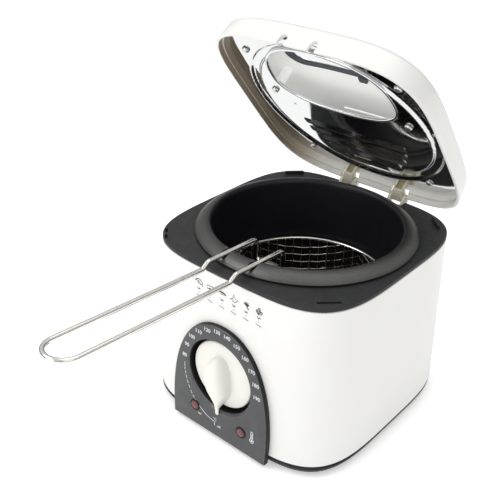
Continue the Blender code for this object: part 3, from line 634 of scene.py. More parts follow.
# ---------------------------------------------------------------- basket and handle
def build_basket(look):
    """Woven square cloth pressed into a cup: its rows hang in curves between the corners."""
    radius, low, high = 0.0744, 0.0636, 0.1106
    pitch, wire, fillet = 0.0080, 0.00044, 0.0100
    turn = math.radians(38)
    height = high - low
    tubes = []

    def spot(out, angle, z, wave):
        out += wave
        return (out * math.cos(angle + turn), out * math.sin(angle + turn), z)

    def wall_point(angle, rise, wave):
        """A point on the wall, rise above the floor, with the bottom bend blended in."""
        if rise < fillet:
            lean = math.sqrt(max(0.0, fillet ** 2 - (fillet - rise) ** 2))
            return spot(radius - fillet + lean, angle, low + rise, wave)
        return spot(radius, angle, low + rise, wave)

    count = int(radius / math.sqrt(2) / pitch)
    for family in range(2):
        for k in range(-count, count + 1):
            c = k * pitch
            half = math.sqrt(radius ** 2 - c ** 2)
            steps = 4
            line = []
            rises = [height - i * pitch / steps for i in range(int(height / (pitch / steps)))]
            for side in (-1, 1):
                run = []
                for rise in rises:
                    angle = math.atan2(side * half, c)
                    wave = wire * math.sin(math.pi * (rise / pitch + k))
                    run.append(wall_point(angle, rise, wave))
                floor_half = math.sqrt((radius - fillet) ** 2 - c ** 2)
                if side == -1:
                    line += run
                    inner = int(floor_half / (pitch / 2))
                    for n in range(-inner, inner + 1):
                        v = n * pitch / 2
                        wave = wire * math.cos(math.pi * v / pitch + math.pi * k)
                        p = Vector((c, v, low + wave))
                        p.rotate(Matrix.Rotation(turn, 3, "Z"))
                        line.append(tuple(p))
                else:
                    line += run[::-1]
            if family:
                quarter_turn = Matrix.Rotation(math.radians(90), 3, "Z")
                line = [tuple(quarter_turn @ Vector(p)) for p in line]
            tubes.append(tube("w", line, wire, 6))
    c = (count + 1) * pitch
    while c < radius + height - 0.004:
        for quarter in range(4):
            end = math.pi / 4
            if c - radius * math.cos(end) > height:
                end = math.acos((c - height) / radius)
            line = []
            steps = max(6, int(2 * end * radius / (pitch / 4)))
            for i in range(steps + 1):
                delta = -end + 2 * end * i / steps
                rise = c - radius * math.cos(delta)
                wave = -wire * math.cos(math.pi * radius * math.sin(delta) / pitch)
                if rise < 0:
                    p = Vector((c, radius * math.sin(delta), low + wave))
                    p.rotate(Matrix.Rotation(turn + quarter * math.pi / 2, 3, "Z"))
                    if p.length < radius:
                        line.append(tuple(p))
                    continue
                line.append(wall_point(delta + quarter * math.pi / 2, rise, wave))
            if len(line) > 3:
                tubes.append(tube("w", line, wire, 6))
        c += pitch
    mesh = joined("basket_cloth", tubes)
    piece("basket_cloth", sharpen(mesh, 60), look["mesh"], "basket", "basket_mesh",
          slot="basket_wire")
    ring = [(0.0760 * math.cos(a), 0.0760 * math.sin(a), 0.1110)
            for a in (math.tau * i / 144 for i in range(144))]
    piece("basket_ring", tube("basket_ring", ring, 0.0016, 14, closed=True), look["chrome"],
          "basket", "basket_rim_ring", slot="basket_wire")


def rounded_path(corners, radii, steps=9):
    points = [Vector(corners[0])]
    for before, here, after, radius in zip(corners, corners[1:], corners[2:], radii):
        here = Vector(here)
        back = (Vector(before) - here).normalized()
        ahead = (Vector(after) - here).normalized()
        half = back.angle(ahead) / 2
        reach = radius / math.tan(half)
        centre = here + (back + ahead).normalized() * radius / math.sin(half)
        start = (here + back * reach - centre).normalized()
        end = (here + ahead * reach - centre).normalized()
        for i in range(steps + 1):
            points.append(centre + start.slerp(end, i / steps) * radius)
    points.append(Vector(corners[-1]))
    return points


def build_handle(look):
    y0, z0 = PIVOT.y - MIDDLE_Y, PIVOT.z
    w, end_y = WIRE_X, -0.2520
    half = [(0.0012, y0, z0), (w, y0, z0), (w, y0, 0.1662), (w, -0.1062, 0.1692),
            (w, -0.1130, 0.1648), (w, end_y, 0.1750)]
    run = rounded_path(half, [0.0040, 0.0055, 0.0050, 0.0050])
    slope = (0.1750 - 0.1648) / (end_y + 0.1130)
    bow = [(w * math.cos(a), end_y - w * math.sin(a), 0.1750 - slope * w * math.sin(a))
           for a in (math.pi * i / 40 for i in range(1, 40))]
    other = [(-x, y, z) for x, y, z in reversed(run)]
    path = [tuple(p) for p in run] + bow + other
    piece("handle_wire", tube("handle_wire", path, 0.0021, 20), look["chrome"], "handle",
          "basket_handle", slot="basket_wire")
    side, near = 0.0080, -0.0702
    path = [(-side, y0, z0 - 0.0040), (-side, y0, 0.1330), (-side, near, 0.1120),
            (-side, near, 0.0860), (side, near, 0.0860), (side, near, 0.1120),
            (side, y0, 0.1330), (side, y0, z0 - 0.0040)]
    frame_wire = tube("frame", rounded_path(path, [0.006, 0.006, 0.003, 0.003, 0.006, 0.006]),
                      0.0012, 12)
    piece("basket_frame_wire", frame_wire, look["dull"], "basket", "basket_bracket",
          slot="basket_wire")
    sleeve = turned("sleeve", [(0.0024, -0.0092), (0.0034, -0.0092), (0.0036, -0.0090),
                               (0.0036, 0.0090), (0.0034, 0.0092), (0.0024, 0.0092)], 40, ring=True)
    piece("handle_tube", across(sleeve, (0, y0, z0)), look["dull"], "basket", "handle_sleeve",
          slot="basket_wire")


# ---------------------------------------------------------------- panel, lamps, knob
PANEL_PROUD = 0.0045
PANEL_HALF, PANEL_SPRING, PANEL_RISE, PANEL_POWER = 0.0522, 0.0200, 0.0943, 2.3
WELL_RADIUS, WELL_DEPTH = 0.0340, 0.0065


def arch_outline(inset=0.0, count=96):
    half, rise = PANEL_HALF - inset, PANEL_RISE - inset
    points = [(half - 0.0006, 0.0036 + inset)]
    for i in range(count + 1):
        a = math.pi * i / count
        c, s = math.cos(a), math.sin(a)
        points.append((math.copysign(half * abs(c) ** (2 / PANEL_POWER), c),
                       PANEL_SPRING + rise * s ** (2 / PANEL_POWER)))
    points.append((-half + 0.0006, 0.0036 + inset))
    return points


def build_panel(look):
    rows = [(0.0, None), (0.0, 0.0014), (0.0002, 0.0007), (0.0007, 0.0002), (0.0014, 0.0)]
    loops = []
    for inset, back in rows:
        outline = arch_outline(inset)
        if back is None:
            loops.append([(x, -0.0950, z) for x, z in outline])
        else:
            loops.append([(x, face_y(z) - PANEL_PROUD + back, z) for x, z in outline])
    mesh = loft("panel", loops, angle=30)
    mesh = cut(mesh, loft("body", [body_plan(z, -0.0003) for z in (-0.010, 0.170)]))
    front = -face_y(KNOB.z)
    cup = turned("cup", disc(WELL_RADIUS + 0.0026, front - WELL_DEPTH - 0.0015, front + 0.0020), 128)
    mesh = cut(mesh, along_y(cup, (0, 0, KNOB.z)), operation="UNION")
    well = [(0, front - WELL_DEPTH), (WELL_RADIUS - 0.0006, front - WELL_DEPTH),
            (WELL_RADIUS, front - WELL_DEPTH + 0.0006), (WELL_RADIUS, front + PANEL_PROUD - 0.0012),
            (WELL_RADIUS + 0.0020, front + PANEL_PROUD + 0.0016), (WELL_RADIUS + 0.0020, 0.130),
            (0, 0.130)]
    cuts = [along_y(turned("well", well, 128), (0, 0, KNOB.z)),
            along_y(turned("bore", disc(0.0042, 0.080, front - WELL_DEPTH + 0.001), 48),
                    (0, 0, KNOB.z))]
    for side in (-1, 1):
        hole = turned("hole", disc(0.0046, 0.080, 0.130), 48)
        cuts.append(along_y(hole, (side * 0.0260, 0, 0.0240)))
    mesh = cut(mesh, *cuts, angle=30)

    def finish(face):
        lean, spot = abs(face.normal.y), face.center
        # Side walls and the knob well take the near-black painted shade.
        if spot.y > face_y(spot.z) - PANEL_PROUD + 0.0025 or lean < 0.35:
            return 1
        # Top-right bevel faces take the painted highlight grey; the front face keeps the panel grey.
        return 2 if lean < 0.93 and face.normal.x > -0.15 and face.normal.z > -0.5 else 0

    mesh = sorted_faces(mesh, (look["panel"], look["side"], look["edge"]), finish)
    piece("front_panel", mesh, None, "fryer", "control_panel", slot="dark_plastic")
    low_face = -face_y(0.0240)
    for name, side in (("power", -1), ("ready", 1)):
        lens = turned("lens", [(0, low_face - 0.0015), (0.0041, low_face - 0.0015),
                               (0.0041, low_face + PANEL_PROUD + 0.0002),
                               (0.0037, low_face + PANEL_PROUD + 0.0009),
                               (0.0026, low_face + PANEL_PROUD + 0.0013),
                               (0, low_face + PANEL_PROUD + 0.0015)], 48, angle=60)
        piece(f"{name}_lens", along_y(lens, (side * 0.0260, 0, 0.0240)), look["lens"], "fryer",
              f"{name}_lamp_lens", slot="lens")
        rim = low_face + PANEL_PROUD
        bezel = turned("bezel", [(0.0042, rim - 0.0008), (0.0054, rim - 0.0008),
                                 (0.0054, rim + 0.0003), (0.0050, rim + 0.0007),
                                 (0.0044, rim + 0.0007), (0.0042, rim + 0.0003)], 48, ring=True)
        piece(f"{name}_bezel", along_y(bezel, (side * 0.0260, 0, 0.0240)), look["side"], "fryer",
              slot="dark_plastic")


def grip_section(z, count=40):
    top = 0.0200
    if z >= 0:
        half = 0.0115 * math.sqrt(max(0.0, 1 - (z / (top + 0.0004)) ** 2))
    else:
        t = min(1.0, max(0.0, (z + 0.0330) / 0.0230))
        half = 0.0018 + 0.0097 * t * t * (3 - 2 * t)
    high = 0.0072 + 0.0088 * (0.5 + 0.5 * math.cos(math.pi * (0.004 - z) / 0.0416))
    if z > 0.004:
        high = 0.0160 * math.sqrt(1 - 0.8 * ((z - 0.004) / (top - 0.004)) ** 2)
    low = -0.0010 + 0.0070 * min(1.0, max(0.0, (-0.0270 - z) / 0.0040))
    section = []
    for i in range(count + 1):
        a = math.pi * i / count
        c, s = math.cos(a), math.sin(a)
        section.append((math.copysign(half * abs(c) ** 0.7, c), low + (high - low) * s ** 0.7))
    return section


def build_knob(look):
    front = -face_y(KNOB.z)
    face = turned("face", [(0, -0.0055), (0.0304, -0.0055), (0.0310, -0.0049), (0.0310, -0.0010),
                           (0.0308, -0.0004), (0.0302, 0.0001), (0.0200, 0.0014), (0.0100, 0.0020),
                           (0, 0.0022)], 128)
    face = along_y(face, (0, -front, KNOB.z))
    levels = [-0.0376 + 0.0576 * i / 72 for i in range(73)]
    grip = loft("grip", [[(x, -front - out, KNOB.z + z) for x, out in grip_section(z)]
                         for z in levels])
    item = placed(cut(face, grip, operation="UNION"))
    remesh = item.modifiers.new("remesh", "REMESH")
    remesh.mode, remesh.voxel_size = "VOXEL", 0.00035
    remesh.use_smooth_shade = True
    soften = item.modifiers.new("soften", "SMOOTH")
    soften.factor, soften.iterations = 0.5, 7
    mesh = baked(item)
    mesh.shade_smooth()
    piece("knob", mesh, look["knob"], "knob", "temperature_knob", slot="knob_plastic")


# ---------------------------------------------------------------- printing
def on_surface(mesh, depth, proud=0.0):
    """Lay a flat drawing in (x, z) on the front of the housing, or on the panel if proud."""
    for vertex in mesh.vertices:
        x, z = vertex.co.x, vertex.co.z
        base = face_y(z) if proud else front_y(x, z)
        vertex.co.y = base - proud - depth - vertex.co.y
    return mesh


def stroke(points, width, closed=False):
    """A flat ribbon along points given as (x, z)."""
    points = [Vector(p) for p in points]
    count = len(points)
    shape = bmesh.new()
    rows = []
    for i, point in enumerate(points):
        if closed:
            ahead = points[(i + 1) % count] - points[i - 1]
        else:
            ahead = points[min(i + 1, count - 1)] - points[max(i - 1, 0)]
        ahead.normalize()
        side = Vector((-ahead.y, ahead.x)) * width / 2
        rows.append([shape.verts.new((q.x, 0, q.y)) for q in (point + side, point - side)])
    pairs = list(zip(rows, rows[1:]))
    if closed:
        pairs.append((rows[-1], rows[0]))
    for one, two in pairs:
        shape.faces.new((one[0], one[1], two[1], two[0]))
    return to_mesh("stroke", shape)


def solid_dot(x, z, radius, count=16):
    shape = bmesh.new()
    shape.faces.new([shape.verts.new((x + radius * math.cos(math.tau * i / count), 0,
                                      z + radius * math.sin(math.tau * i / count)))
                     for i in range(count)])
    return to_mesh("dot", shape)


def lettering(text, x, z, size, turn=0.0, align="CENTER"):
    curve = bpy.data.curves.new("text", "FONT")
    curve.body, curve.size = text, size
    curve.align_x, curve.align_y = align, "CENTER"
    curve.resolution_u = 3
    curve.offset = size * 0.012
    item = bpy.data.objects.new("text", curve)
    bpy.context.scene.collection.objects.link(item)
    mesh = baked(item)
    mesh.transform(Matrix.Translation((x, 0, z)) @ Matrix.Rotation(turn, 4, "Y")
                   @ Matrix.Rotation(math.radians(90), 4, "X"))
    return mesh


def flat_print(name, meshes, material, proud, slot):
    shape = bmesh.new()
    for mesh in meshes:
        shape.from_mesh(mesh)
    for face in shape.faces:
        face.normal_update()
        if face.normal.y > 0:
            face.normal_flip()
    mesh = bpy.data.meshes.new(name)
    shape.to_mesh(mesh)
    shape.free()
    piece(name, on_surface(mesh, 0.00006, proud), material, "fryer", slot=slot)


def build_print(look):
    marks = []
    for i in range(12):
        value = 80 + 10 * i
        a = math.radians(174 - 172 * i / 11)
        marks.append(lettering(str(value), 0.0397 * math.cos(a) + 0.0010, KNOB.z + 0.0440 * math.sin(a) * 1.0
                               - 0.0006, 0.0050))
    path = smoothed([(-0.0385, 0.0630), (-0.0381, 0.0553), (-0.0350, 0.0442), (-0.0288, 0.0330),
                     (-0.0216, 0.0262), (-0.0130, 0.0208), (-0.0030, 0.0182)], 8)
    split = 28
    for i in range(0, split, 3):
        marks.append(stroke(path[i:i + 3], 0.0006))
    marks.append(stroke(path[split:], 0.0006))
    marks.append(stroke([(-0.0030, 0.0182), (-0.0030, 0.0150)], 0.0006))
    marks.append(lettering("off", 0.0018, 0.0156, 0.0036))
    marks.append(lettering("°C", -0.0030, 0.0212, 0.0036))
    marks.append(lettering("on", -0.0205, 0.0178, 0.0036))
    bulb = [(0.0379 + x, z) for x, z in arc_points((0, 0.0222), 0.0021, 118, 422, 18)]
    stem = arc_points((0.0379, 0.0305), 0.0010, 0, 180, 6)
    marks.append(stroke(bulb + stem, 0.0006, closed=True))
    marks.append(stroke([(0.0379, 0.0222), (0.0379, 0.0290)], 0.0004))
    marks.append(solid_dot(0.0379, 0.0222, 0.0010))
    flat_print("panel_print", marks, look["print_light"], PANEL_PROUD, "knob_plastic")
    build_pictograms(look)


def build_pictograms(look):
    """Small plain food signs with a short line of marks under each."""
    w = 0.00062
    marks = []

    def at(x, z, points, closed=False, width=w):
        marks.append(stroke([(x + px * 0.001, z + pz * 0.001) for px, pz in points], width, closed))

    def ring_at(x, z, radius, width=w, squash=1.0):
        at(x, z, [(radius * math.cos(math.tau * i / 14), squash * radius * math.sin(math.tau * i / 14))
                  for i in range(14)], True, width)

    top, first, pitch = 0.1438, -0.0272, 0.01244
    at(first, top, smoothed([(-4.2, 0.6), (-2.8, 2.4), (0.2, 3.0), (2.6, 1.8), (3.6, -0.4),
                             (1.6, -1.2), (0.2, 0.4), (-1.4, 1.2), (-4.2, 0.6)], 4), width=w * 1.2)
    at(first, top, [(2.8, -0.6), (4.4, -1.8), (3.4, -2.8)])
    at(first, top, [(-0.6, 0.8), (-1.4, -0.8), (-0.2, -1.8)])
    at(first, top, [(1.0, 0.4), (0.8, -1.4)])
    at(first + pitch, top, [(-3.2, 1.5), (3.2, 1.5), (3.2, -1.5), (-3.2, -1.5)], True, w * 1.3)
    at(first + pitch, top, [(-1.4, -0.7), (3.2, -0.7)])
    at(first + 2 * pitch, top, [(-4.0, 0.8), (-1.2, 1.2), (1.6, 0.9), (4.0, -0.2)], width=w * 2.6)
    at(first + 2 * pitch, top, [(-2.0, -0.6), (1.2, -0.9)])
    at(first + 3 * pitch, top, [(-4.2, -0.8), (-1.2, 0.6), (-0.7, 4.2), (1.0, 0.9), (4.8, 0.6),
                                (1.8, -1.4), (0.4, -2.6), (-1.2, -1.5)], True, w * 1.1)
    for k in range(5):
        a = math.radians(150 - 30 * k)
        at(first + 4 * pitch, top, [(0.6, -0.6), (3.2 * math.cos(a), 3.2 * math.sin(a))],
           width=w * 1.5)
    at(first + 4 * pitch, top, [(0.6, -0.8), (2.4, -3.0)], width=w * 1.8)
    for dx, dz in ((0.0, 2.2), (-2.0, 0.2), (0.6, 0.0), (2.2, -0.4), (-0.6, -2.0)):
        ring_at(first + 5 * pitch + dx * 0.001, top + dz * 0.001, 0.8, w * 1.3)
    at(first + 5 * pitch, top, [(-3.0, -1.2), (2.6, -2.8)])
    for i in range(6):
        x = first + pitch * i
        at(x, top - 0.0056, [(-1.9, 0.9), (-0.6, -0.6), (0.4, 0.6), (1.7, -0.7)], width=w)
        at(x, top - 0.0056, [(-1.0, -1.0), (1.0, -0.2)], width=w)
        at(x, top - 0.0090, [(0, 0.8), (0, -0.8)], width=w * 0.7)
        at(x, top - 0.0122, [(-2.8, 0.6), (-1.0, 0.1), (-0.2, -0.5)], width=w)
        at(x, top - 0.0122, [(0.2, 0.6), (1.0, -0.8), (2.6, -0.2)], width=w)
    flat_print("housing_print", marks, look["print_dark"], 0.0, "dark_plastic")


# ---------------------------------------------------------------- lid
def lid_loop(scale, z, inset=0.0, power=LID_POWER):
    return plan(HALF_X * scale - inset, HALF_Y * scale - inset, z, power)


def dome_loops(inset, drop, steps=26):
    loops = []
    for i in range(steps + 1):
        a = math.radians(89.3) * i / steps
        power = LID_POWER - 1.6 * math.sin(a)
        loops.append(lid_loop(SKIRT_SCALE * math.cos(a), LID_RIM + SKIRT + (DOME - drop) * math.sin(a),
                              inset * math.cos(a), power))
    return loops


def window_outline(grow=0.0, count=48):
    rear, radius, half = -0.0320 + grow, 0.0800 + grow, 0.0520 + grow
    start = -math.acos(half / radius)
    points = [(radius * math.cos(a), radius * math.sin(a))
              for a in (start + (-math.pi - 2 * start) * i / count for i in range(count + 1))]
    soft = 0.0160
    points += arc_points((-half + soft, rear - soft), soft, 180, 90, 8)
    points += arc_points((half - soft, rear - soft), soft, 90, 0, 8)
    return points


def screw_places():
    return [(side * x, y) for x, y in ((0.0720, -0.0670), (0.0660, -0.0150), (0.0620, 0.0730))
            for side in (-1, 1)]


def roof_height(x, y):
    low, high = 0.0, math.radians(89)
    for _ in range(24):
        a = (low + high) / 2
        scale, power = SKIRT_SCALE * math.cos(a), LID_POWER - 1.6 * math.sin(a)
        if abs(x / HALF_X) ** power + abs(y / HALF_Y) ** power < scale ** power:
            low = a
        else:
            high = a
    return LID_RIM + SKIRT + DOME * math.sin(low)


def notch_outline(x, half=0.0033, height=0.0094):
    return [(x + half, LID_RIM - 0.004),
            *arc_points((x, LID_RIM + height - half), half, 0, 180, 16),
            (x - half, LID_RIM - 0.004)]


def build_lid(look):
    outer = [lid_loop(0.9965, LID_RIM), lid_loop(0.9990, LID_RIM + 0.0003),
             lid_loop(1.0, LID_RIM + 0.0010), *dome_loops(0, 0)]
    ledge = LID_RIM + 0.0050
    inner = [lid_loop(1.0, LID_RIM, WALL - 0.0003), lid_loop(1.0, LID_RIM + 0.0004, WALL),
             lid_loop(1.0, ledge - 0.0003, WALL), lid_loop(1.0, ledge, WALL + 0.0004),
             lid_loop(1.0, ledge, WALL + 0.0012), lid_loop(1.0, ledge + 0.0004, WALL + 0.0015),
             *dome_loops(WALL, WALL)]
    mesh = loft("lid_cover", outer[::-1] + inner)
    posts = []
    for x, y in screw_places():
        post = turned("post", disc(0.0042, PLATE_Z + 0.0011, roof_height(x, y) - 0.0015), 32)
        posts.append(shifted(post, (x, y, 0)))
    mesh = cut(mesh, joined("posts", posts), operation="UNION")
    cuts = [prism("window", window_outline(), LID_RIM + 0.020, LID_RIM + 0.050)]
    for side in (-1, 1):
        cuts.append(prism("notch", notch_outline(side * WIRE_X), -0.108, -0.094, "Y"))
        cuts.append(box_mesh("gap", ((side * HINGE_X - 0.0092, 0.0950, LID_RIM - 0.004),
                                     (side * HINGE_X + 0.0092, 0.1080, LID_RIM + 0.0088))))
    vents = []
    for i in range(5):
        y = 0.030 + 0.008 * i
        vents.append(((-0.026, y - 0.0012, LID_RIM + 0.025), (0.026, y + 0.0012, LID_RIM + 0.050)))
    cuts.append(box_mesh("vents", *vents))
    mesh = cut(mesh, *cuts)

    def side(face):
        middle = face.center
        inward = face.normal.x * middle.x + face.normal.y * middle.y < 0
        # Inward faces of the skirt take the skirt material with its painted shade.
        if inward and middle.z < LID_RIM + SKIRT + 0.001:
            return 1
        # Roof faces between the plate and the roof take the glowing ceiling material, which is painted
        # light.
        flat = PLATE_Z + 0.002 < middle.z < roof_height(middle.x, middle.y) - 0.0012
        return 2 if flat and face.normal.z < 0.5 else 0

    mesh = sorted_faces(mesh, (look["white"], look["skirt"], look["ceiling"]), side)
    piece("lid_cover", mesh, None, "lid", "lid_shell", slot="white_shell", place=LID_PLACE)
    build_window(look)
    build_plate(look)


def dome_layer(name, near, far):
    return loft(name, dome_loops(near, near)[::-1] + dome_loops(far, far))


def build_window(look):
    pane = cut(dome_layer("pane", 0.0006, 0.0020),
               prism("fit", window_outline(-0.0004), LID_RIM + 0.020, LID_RIM + 0.050),
               operation="INTERSECT")
    piece("window_pane", pane, look["glass"], "lid", "lid_window", slot="window", place=LID_PLACE)
    seal = cut(dome_layer("seal", 0.0028, 0.0048),
               prism("outside", window_outline(0.0034), LID_RIM + 0.015, LID_RIM + 0.050),
               operation="INTERSECT")
    seal = cut(seal, prism("inside", window_outline(-0.0016), LID_RIM + 0.010, LID_RIM + 0.055))
    roof = roof_height(0.0150, -0.0270)
    clip = bevelled(box_mesh("clip", ((0.0112, -0.0300, roof - 0.0064),
                                      (0.0186, -0.0240, roof - 0.0034))), 0.0005)
    seal = joined("seal", (seal, clip))
    piece("window_seal", seal, look["gasket"], "lid", "window_gasket", slot="rubber",
          place=LID_PLACE)


def plate_window(grow=0.0, count=120):
    points = []
    half = 0.0600 + grow
    for i in range(count):
        a = math.tau * i / count
        c, s = math.cos(a), math.sin(a)
        reach = 0.0300 + grow if s > 0 else 0.0460 + grow
        points.append((math.copysign(half * abs(c) ** 0.86, c),
                       -0.0360 + math.copysign(reach * abs(s) ** 0.86, s)))
    return points


def bead_height(radius):
    """Height of the pressed round channel above the plate's flat."""
    inner, outer, rise, slope = 0.0800, 0.0912, 0.0025, 0.0030
    if radius <= inner or radius >= outer:
        return 0.0
    edge = min(radius - inner, outer - radius) / slope
    t = min(1.0, edge)
    return rise * t * t * (3 - 2 * t)


def plate_height(x, y):
    """Pressed shape of the plate: the round channel and the louvres."""
    rise = bead_height(math.hypot(x, y))
    for i in range(5):
        row = 0.0240 + 0.0115 * i
        half = math.sqrt(max(0.0, 0.0545 ** 2 - (row - 0.022) ** 2)) - 0.002
        span = (half - abs(x)) / 0.006
        if span > 0 and row - 0.0010 <= y <= row + 0.0062:
            along = min(1.0, span)
            lift = 1 - (y - row + 0.0010) / 0.0072
            rise += 0.0022 * along * along * (3 - 2 * along) * lift
    return rise


def build_plate(look):
    """A thin pressed sheet: a fine grid shaped by plate_height, trimmed and given thickness."""
    half_x, half_y, back = 0.0945, 0.0925, -0.0015
    columns = [i * 0.0011 for i in range(-87, 88)]
    rows = [-0.0966 + 0.0011 * i for i in range(104)]
    rows += [rows[-1] + 0.00045 * i for i in range(1, 138)]
    while rows[-1] < 0.094:
        rows.append(rows[-1] + 0.0011)
    shape = bmesh.new()
    grid = [[shape.verts.new((x, y, 0)) for y in rows] for x in columns]
    for i in range(len(grid) - 1):
        for j in range(len(grid[0]) - 1):
            shape.faces.new((grid[i][j], grid[i + 1][j], grid[i + 1][j + 1], grid[i][j + 1]))
    mesh = to_mesh("grid", shape)
    item = placed(mesh)
    thick = item.modifiers.new("thick", "SOLIDIFY")
    thick.thickness, thick.offset = 0.0006, 0.0
    mesh = baked(item)
    rim = plan(half_x, half_y, -0.005, LID_POWER)
    keep = prism("keep", [(x, y + back) for x, y, _ in rim], -0.005, 0.005)
    mesh = cut(mesh, keep, operation="INTERSECT")
    cuts = [prism("opening", plate_window(), -0.005, 0.005)]
    slits = []
    for i in range(5):
        row = 0.0240 + 0.0115 * i
        half = math.sqrt(0.0545 ** 2 - (row - 0.022) ** 2) - 0.003
        slits.append(((-half, row - 0.0024, -0.005), (half, row - 0.0010, 0.005)))
    cuts.append(box_mesh("slits", *slits))
    cuts.append(shifted(turned("hole", disc(0.0012, -0.005, 0.005), 24), (-0.0518, 0.0010, 0)))
    mesh = cut(mesh, *cuts)
    for vertex in mesh.vertices:
        vertex.co.z += PLATE_Z + 0.0004 + plate_height(vertex.co.x, vertex.co.y)
    mesh.shade_smooth()

    def hood(face):
        x, y = face.center.x, face.center.y
        return 1 if plate_height(x, y) - bead_height(math.hypot(x, y)) > 0.00005 else 0

    sorted_faces(mesh, (look["mirror"], look["louvre"]), hood)
    mesh.transform(LID_PLACE)
    turn, back_to = LID_PLACE.to_3x3(), LID_PLACE.inverted()
    normals = []
    for vertex in mesh.vertices:
        x, y, _ = back_to @ vertex.co
        e = 0.0003
        lean_x = (plate_height(x + e, y) - plate_height(x - e, y)) / (2 * e)
        lean_y = (plate_height(x, y + e) - plate_height(x, y - e)) / (2 * e)
        straight = turn @ Vector((-lean_x, -lean_y, 1)).normalized()
        normals.append(straight if straight.dot(vertex.normal) > 0 else -straight)
    mesh.normals_split_custom_set_from_vertices(normals)
    piece("lid_plate", mesh, None, "lid", "lid_inner_plate", slot="mirror_plate",
          place=Matrix.Identity(4))
    lip = []
    for x, y in plate_window(0.0002):
        lip.append((x, y, PLATE_Z + 0.0012))
    rolled = tube("rolled", lip, 0.0016, 12, closed=True)
    piece("plate_window_edge", rolled, look["mirror"], "lid", slot="mirror_plate", place=LID_PLACE)
    build_screws(look)


def build_screws(look):
    head = 0.0033
    profile = [(0, -0.0024), (head * 0.45, -0.00232), (head * 0.75, -0.0020), (head * 0.93, -0.0014),
               (head, -0.0007), (head, -0.0003), (0.0015, -0.0003), (0.0015, 0.0060), (0, 0.0070)]
    cross = box_mesh("cross", ((-0.0022, -0.0005, -0.004), (0.0022, 0.0005, -0.0009)),
                     ((-0.0005, -0.0022, -0.004), (0.0005, 0.0022, -0.0009)))
    # Painted shade: the cross recess takes the near-black material, darkening it where shade falls.
    cross.materials.append(look["side"])
    for number, (x, y) in enumerate(screw_places(), 1):
        mesh = turned("screw", profile, 32)
        mesh.materials.append(look["screw"])
        mesh = cut(mesh, cross.copy())
        mesh = shifted(mesh, (x, y, PLATE_Z), math.radians(37 * number))
        piece(f"cover_screw_{number}", mesh, None, "lid", f"lid_screw_{number}",
              slot="fixing_steel", place=LID_PLACE)


def build_hinges(look):
    eye = 0.0042
    hy, hz = HINGE_HOME.y, HINGE_HOME.z

    def eye_points(first, last, count=18):
        return arc_points((hy, hz), eye, first, last, count)

    for side, word in ((-1, "left"), (1, "right")):
        x = side * HINGE_X
        outline = eye_points(-100, 60) + [(0.0983, 0.1705), (0.0983, 0.1775), (0.0949, 0.1775),
                                          (0.0949, 0.1650)]
        arm = prism("arm", outline, x - 0.0050, x + 0.0050, "X")
        arm.materials.append(look["arm"])
        # The recessed web between the arm's ribs is cut with the tan painted shade material.
        web = box_mesh("web", ((x - 0.0032, 0.0940, 0.1670), (x + 0.0032, 0.0965, 0.1800)))
        web.materials.append(look["tan"])
        bore = across(turned("bore", disc(0.0021, -0.010, 0.010), 40), (x, hy, hz))
        arm = bevelled(cut(arm, web, bore), 0.0003)
        piece(f"lid_arm_{word}", arm, None, "hinge_arms", f"hinge_arm_{word}",
              slot="hinge_plastic", place=LID_PLACE)
        lug = eye_points(-60, 140) + [(0.0950, 0.1585), (0.0950, 0.1500), (0.0993, 0.1500),
                                      (0.0993, 0.1578)]
        bracket = prism("bracket", lug, x - 0.0086, x + 0.0086, "X")
        slot = box_mesh("slot", ((x - 0.0055, 0.0993, 0.1560), (x + 0.0055, 0.1120, 0.1720)))
        gap = box_mesh("gap", ((x - 0.0055, 0.0940, 0.1575), (x + 0.0055, 0.0999, 0.1720)))
        bore = across(turned("bore", disc(0.0021, -0.010, 0.010), 40), (x, hy, hz))
        bracket = bevelled(cut(bracket, slot, gap, bore), 0.0003)
        piece(f"lid_bracket_{word}", bracket, look["arm"], "fryer", f"hinge_bracket_{word}",
              slot="hinge_plastic")


# ---------------------------------------------------------------- carried-over nodes
def dress_nodes(look):
    """Give each CAD node that stays its own finish."""
    finish = {"rubber": ["foot_1", "foot_2", "foot_3", "foot_4", "cord_gland"],
              "screw": ["base_screw_1", "base_screw_2", "base_screw_3", "base_screw_4",
                        "hinge_pin_left", "hinge_pin_right", "knob_shaft"],
              "plain": ["heating_element", "heat_shield", "thermostat_body"],
              "insulator": ["thermal_fuse", "terminal_block", "power_lamp_body",
                            "ready_lamp_body"],
              "foam": ["vapour_filter"]}
    for key, names in finish.items():
        for name in names:
            node = frame["nodes"][name]
            for slot in node.material_slots:
                slot.material = look[key]


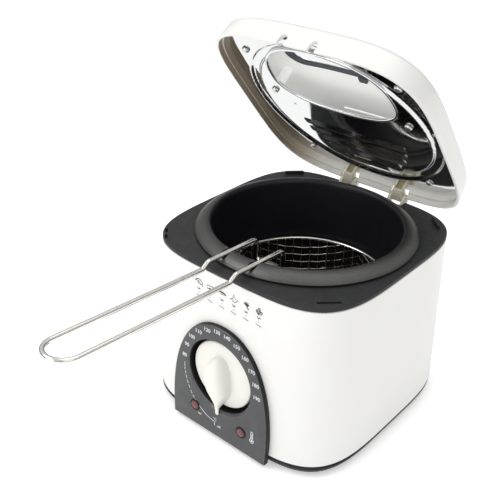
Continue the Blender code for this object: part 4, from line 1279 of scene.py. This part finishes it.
# ---------------------------------------------------------------- stage
def build_stage():
    size = 6.0
    shape = bmesh.new()
    bmesh.ops.create_grid(shape, x_segments=8, y_segments=8, size=size)
    floor = bpy.data.objects.new("floor", to_mesh("floor", shape))
    bpy.context.scene.collection.objects.link(floor)
    white = Surface("floor_white", (0.90, 0.90, 0.90), 0.9, Emission_Color=(1, 1, 1, 1),
                    Emission_Strength=0.34)
    floor.data.materials.append(white.made)
    world = bpy.data.worlds.new("studio")
    world.use_nodes = True
    tree = world.node_tree
    back = tree.nodes["Background"]
    back.inputs["Strength"].default_value = 0.72
    where = tree.nodes.new("ShaderNodeTexCoord")
    split = tree.nodes.new("ShaderNodeSeparateXYZ")
    ramp = tree.nodes.new("ShaderNodeValToRGB")
    marks = ramp.color_ramp.elements
    for place, shade in ((0.06, 0.10), (0.22, 0.55), (0.45, 1.0)):
        marks.new(place).color = (shade, shade, shade, 1)
    marks[0].color = (0.06, 0.06, 0.06, 1)
    marks[-1].color = (1.15, 1.15, 1.15, 1)
    tree.links.new(where.outputs["Generated"], split.inputs["Vector"])
    tree.links.new(split.outputs["Z"], ramp.inputs["Fac"])
    tree.links.new(ramp.outputs["Color"], back.inputs["Color"])
    bpy.context.scene.world = world
    for name, place, target, size, power in (
            ("key", (-0.9, -0.9, 1.5), (0, 0, 0.1), 0.9, 10.5),
            ("front", (-0.25, -1.5, 0.45), (0, 0.1, 0.22), 0.8, 4.5),
            ("fill", (1.3, -0.6, 0.9), (0, 0, 0.1), 1.2, 2.6),
            ("top", (0.1, 0.3, 1.8), (0, 0, 0.1), 1.2, 6)):
        lamp = bpy.data.lights.new(name, "AREA")
        lamp.size, lamp.energy = size, power
        item = bpy.data.objects.new(name, lamp)
        item.location = place
        item.rotation_euler = (Vector(target) - Vector(place)).to_track_quat("-Z", "Y").to_euler()
        bpy.context.scene.collection.objects.link(item)


def build_camera():
    bpy.context.scene.view_settings.view_transform = "Standard"
    forward = Vector((-0.55941, 0.66495, -0.49488)).normalized()
    roll = math.radians(1.36)
    right = forward.cross(Vector((0, 0, 1))).normalized()
    up = right.cross(forward)
    across_axis = right * math.cos(roll) + up * math.sin(roll)
    up_axis = -right * math.sin(roll) + up * math.cos(roll)
    turn = Matrix((across_axis, up_axis, -forward)).transposed().to_4x4()
    data = bpy.data.cameras.new("camera")
    data.lens, data.sensor_width = 56.70, 36.0
    data.clip_start, data.clip_end = 0.01, 50.0
    camera = bpy.data.objects.new("camera", data)
    camera.matrix_world = Matrix.Translation((0.34392, -0.48241 + MIDDLE_Y, 0.47555)) @ turn
    bpy.context.scene.collection.objects.link(camera)
    bpy.context.scene.camera = camera


def main():
    look = make_materials()
    build_camera()
    build_stage()
    build_housing(look)
    build_base(look)
    build_deck(look)
    build_pot(look)
    build_basket(look)
    build_handle(look)
    build_panel(look)
    build_knob(look)
    build_print(look)
    build_lid(look)
    build_hinges(look)
    dress_nodes(look)


main()
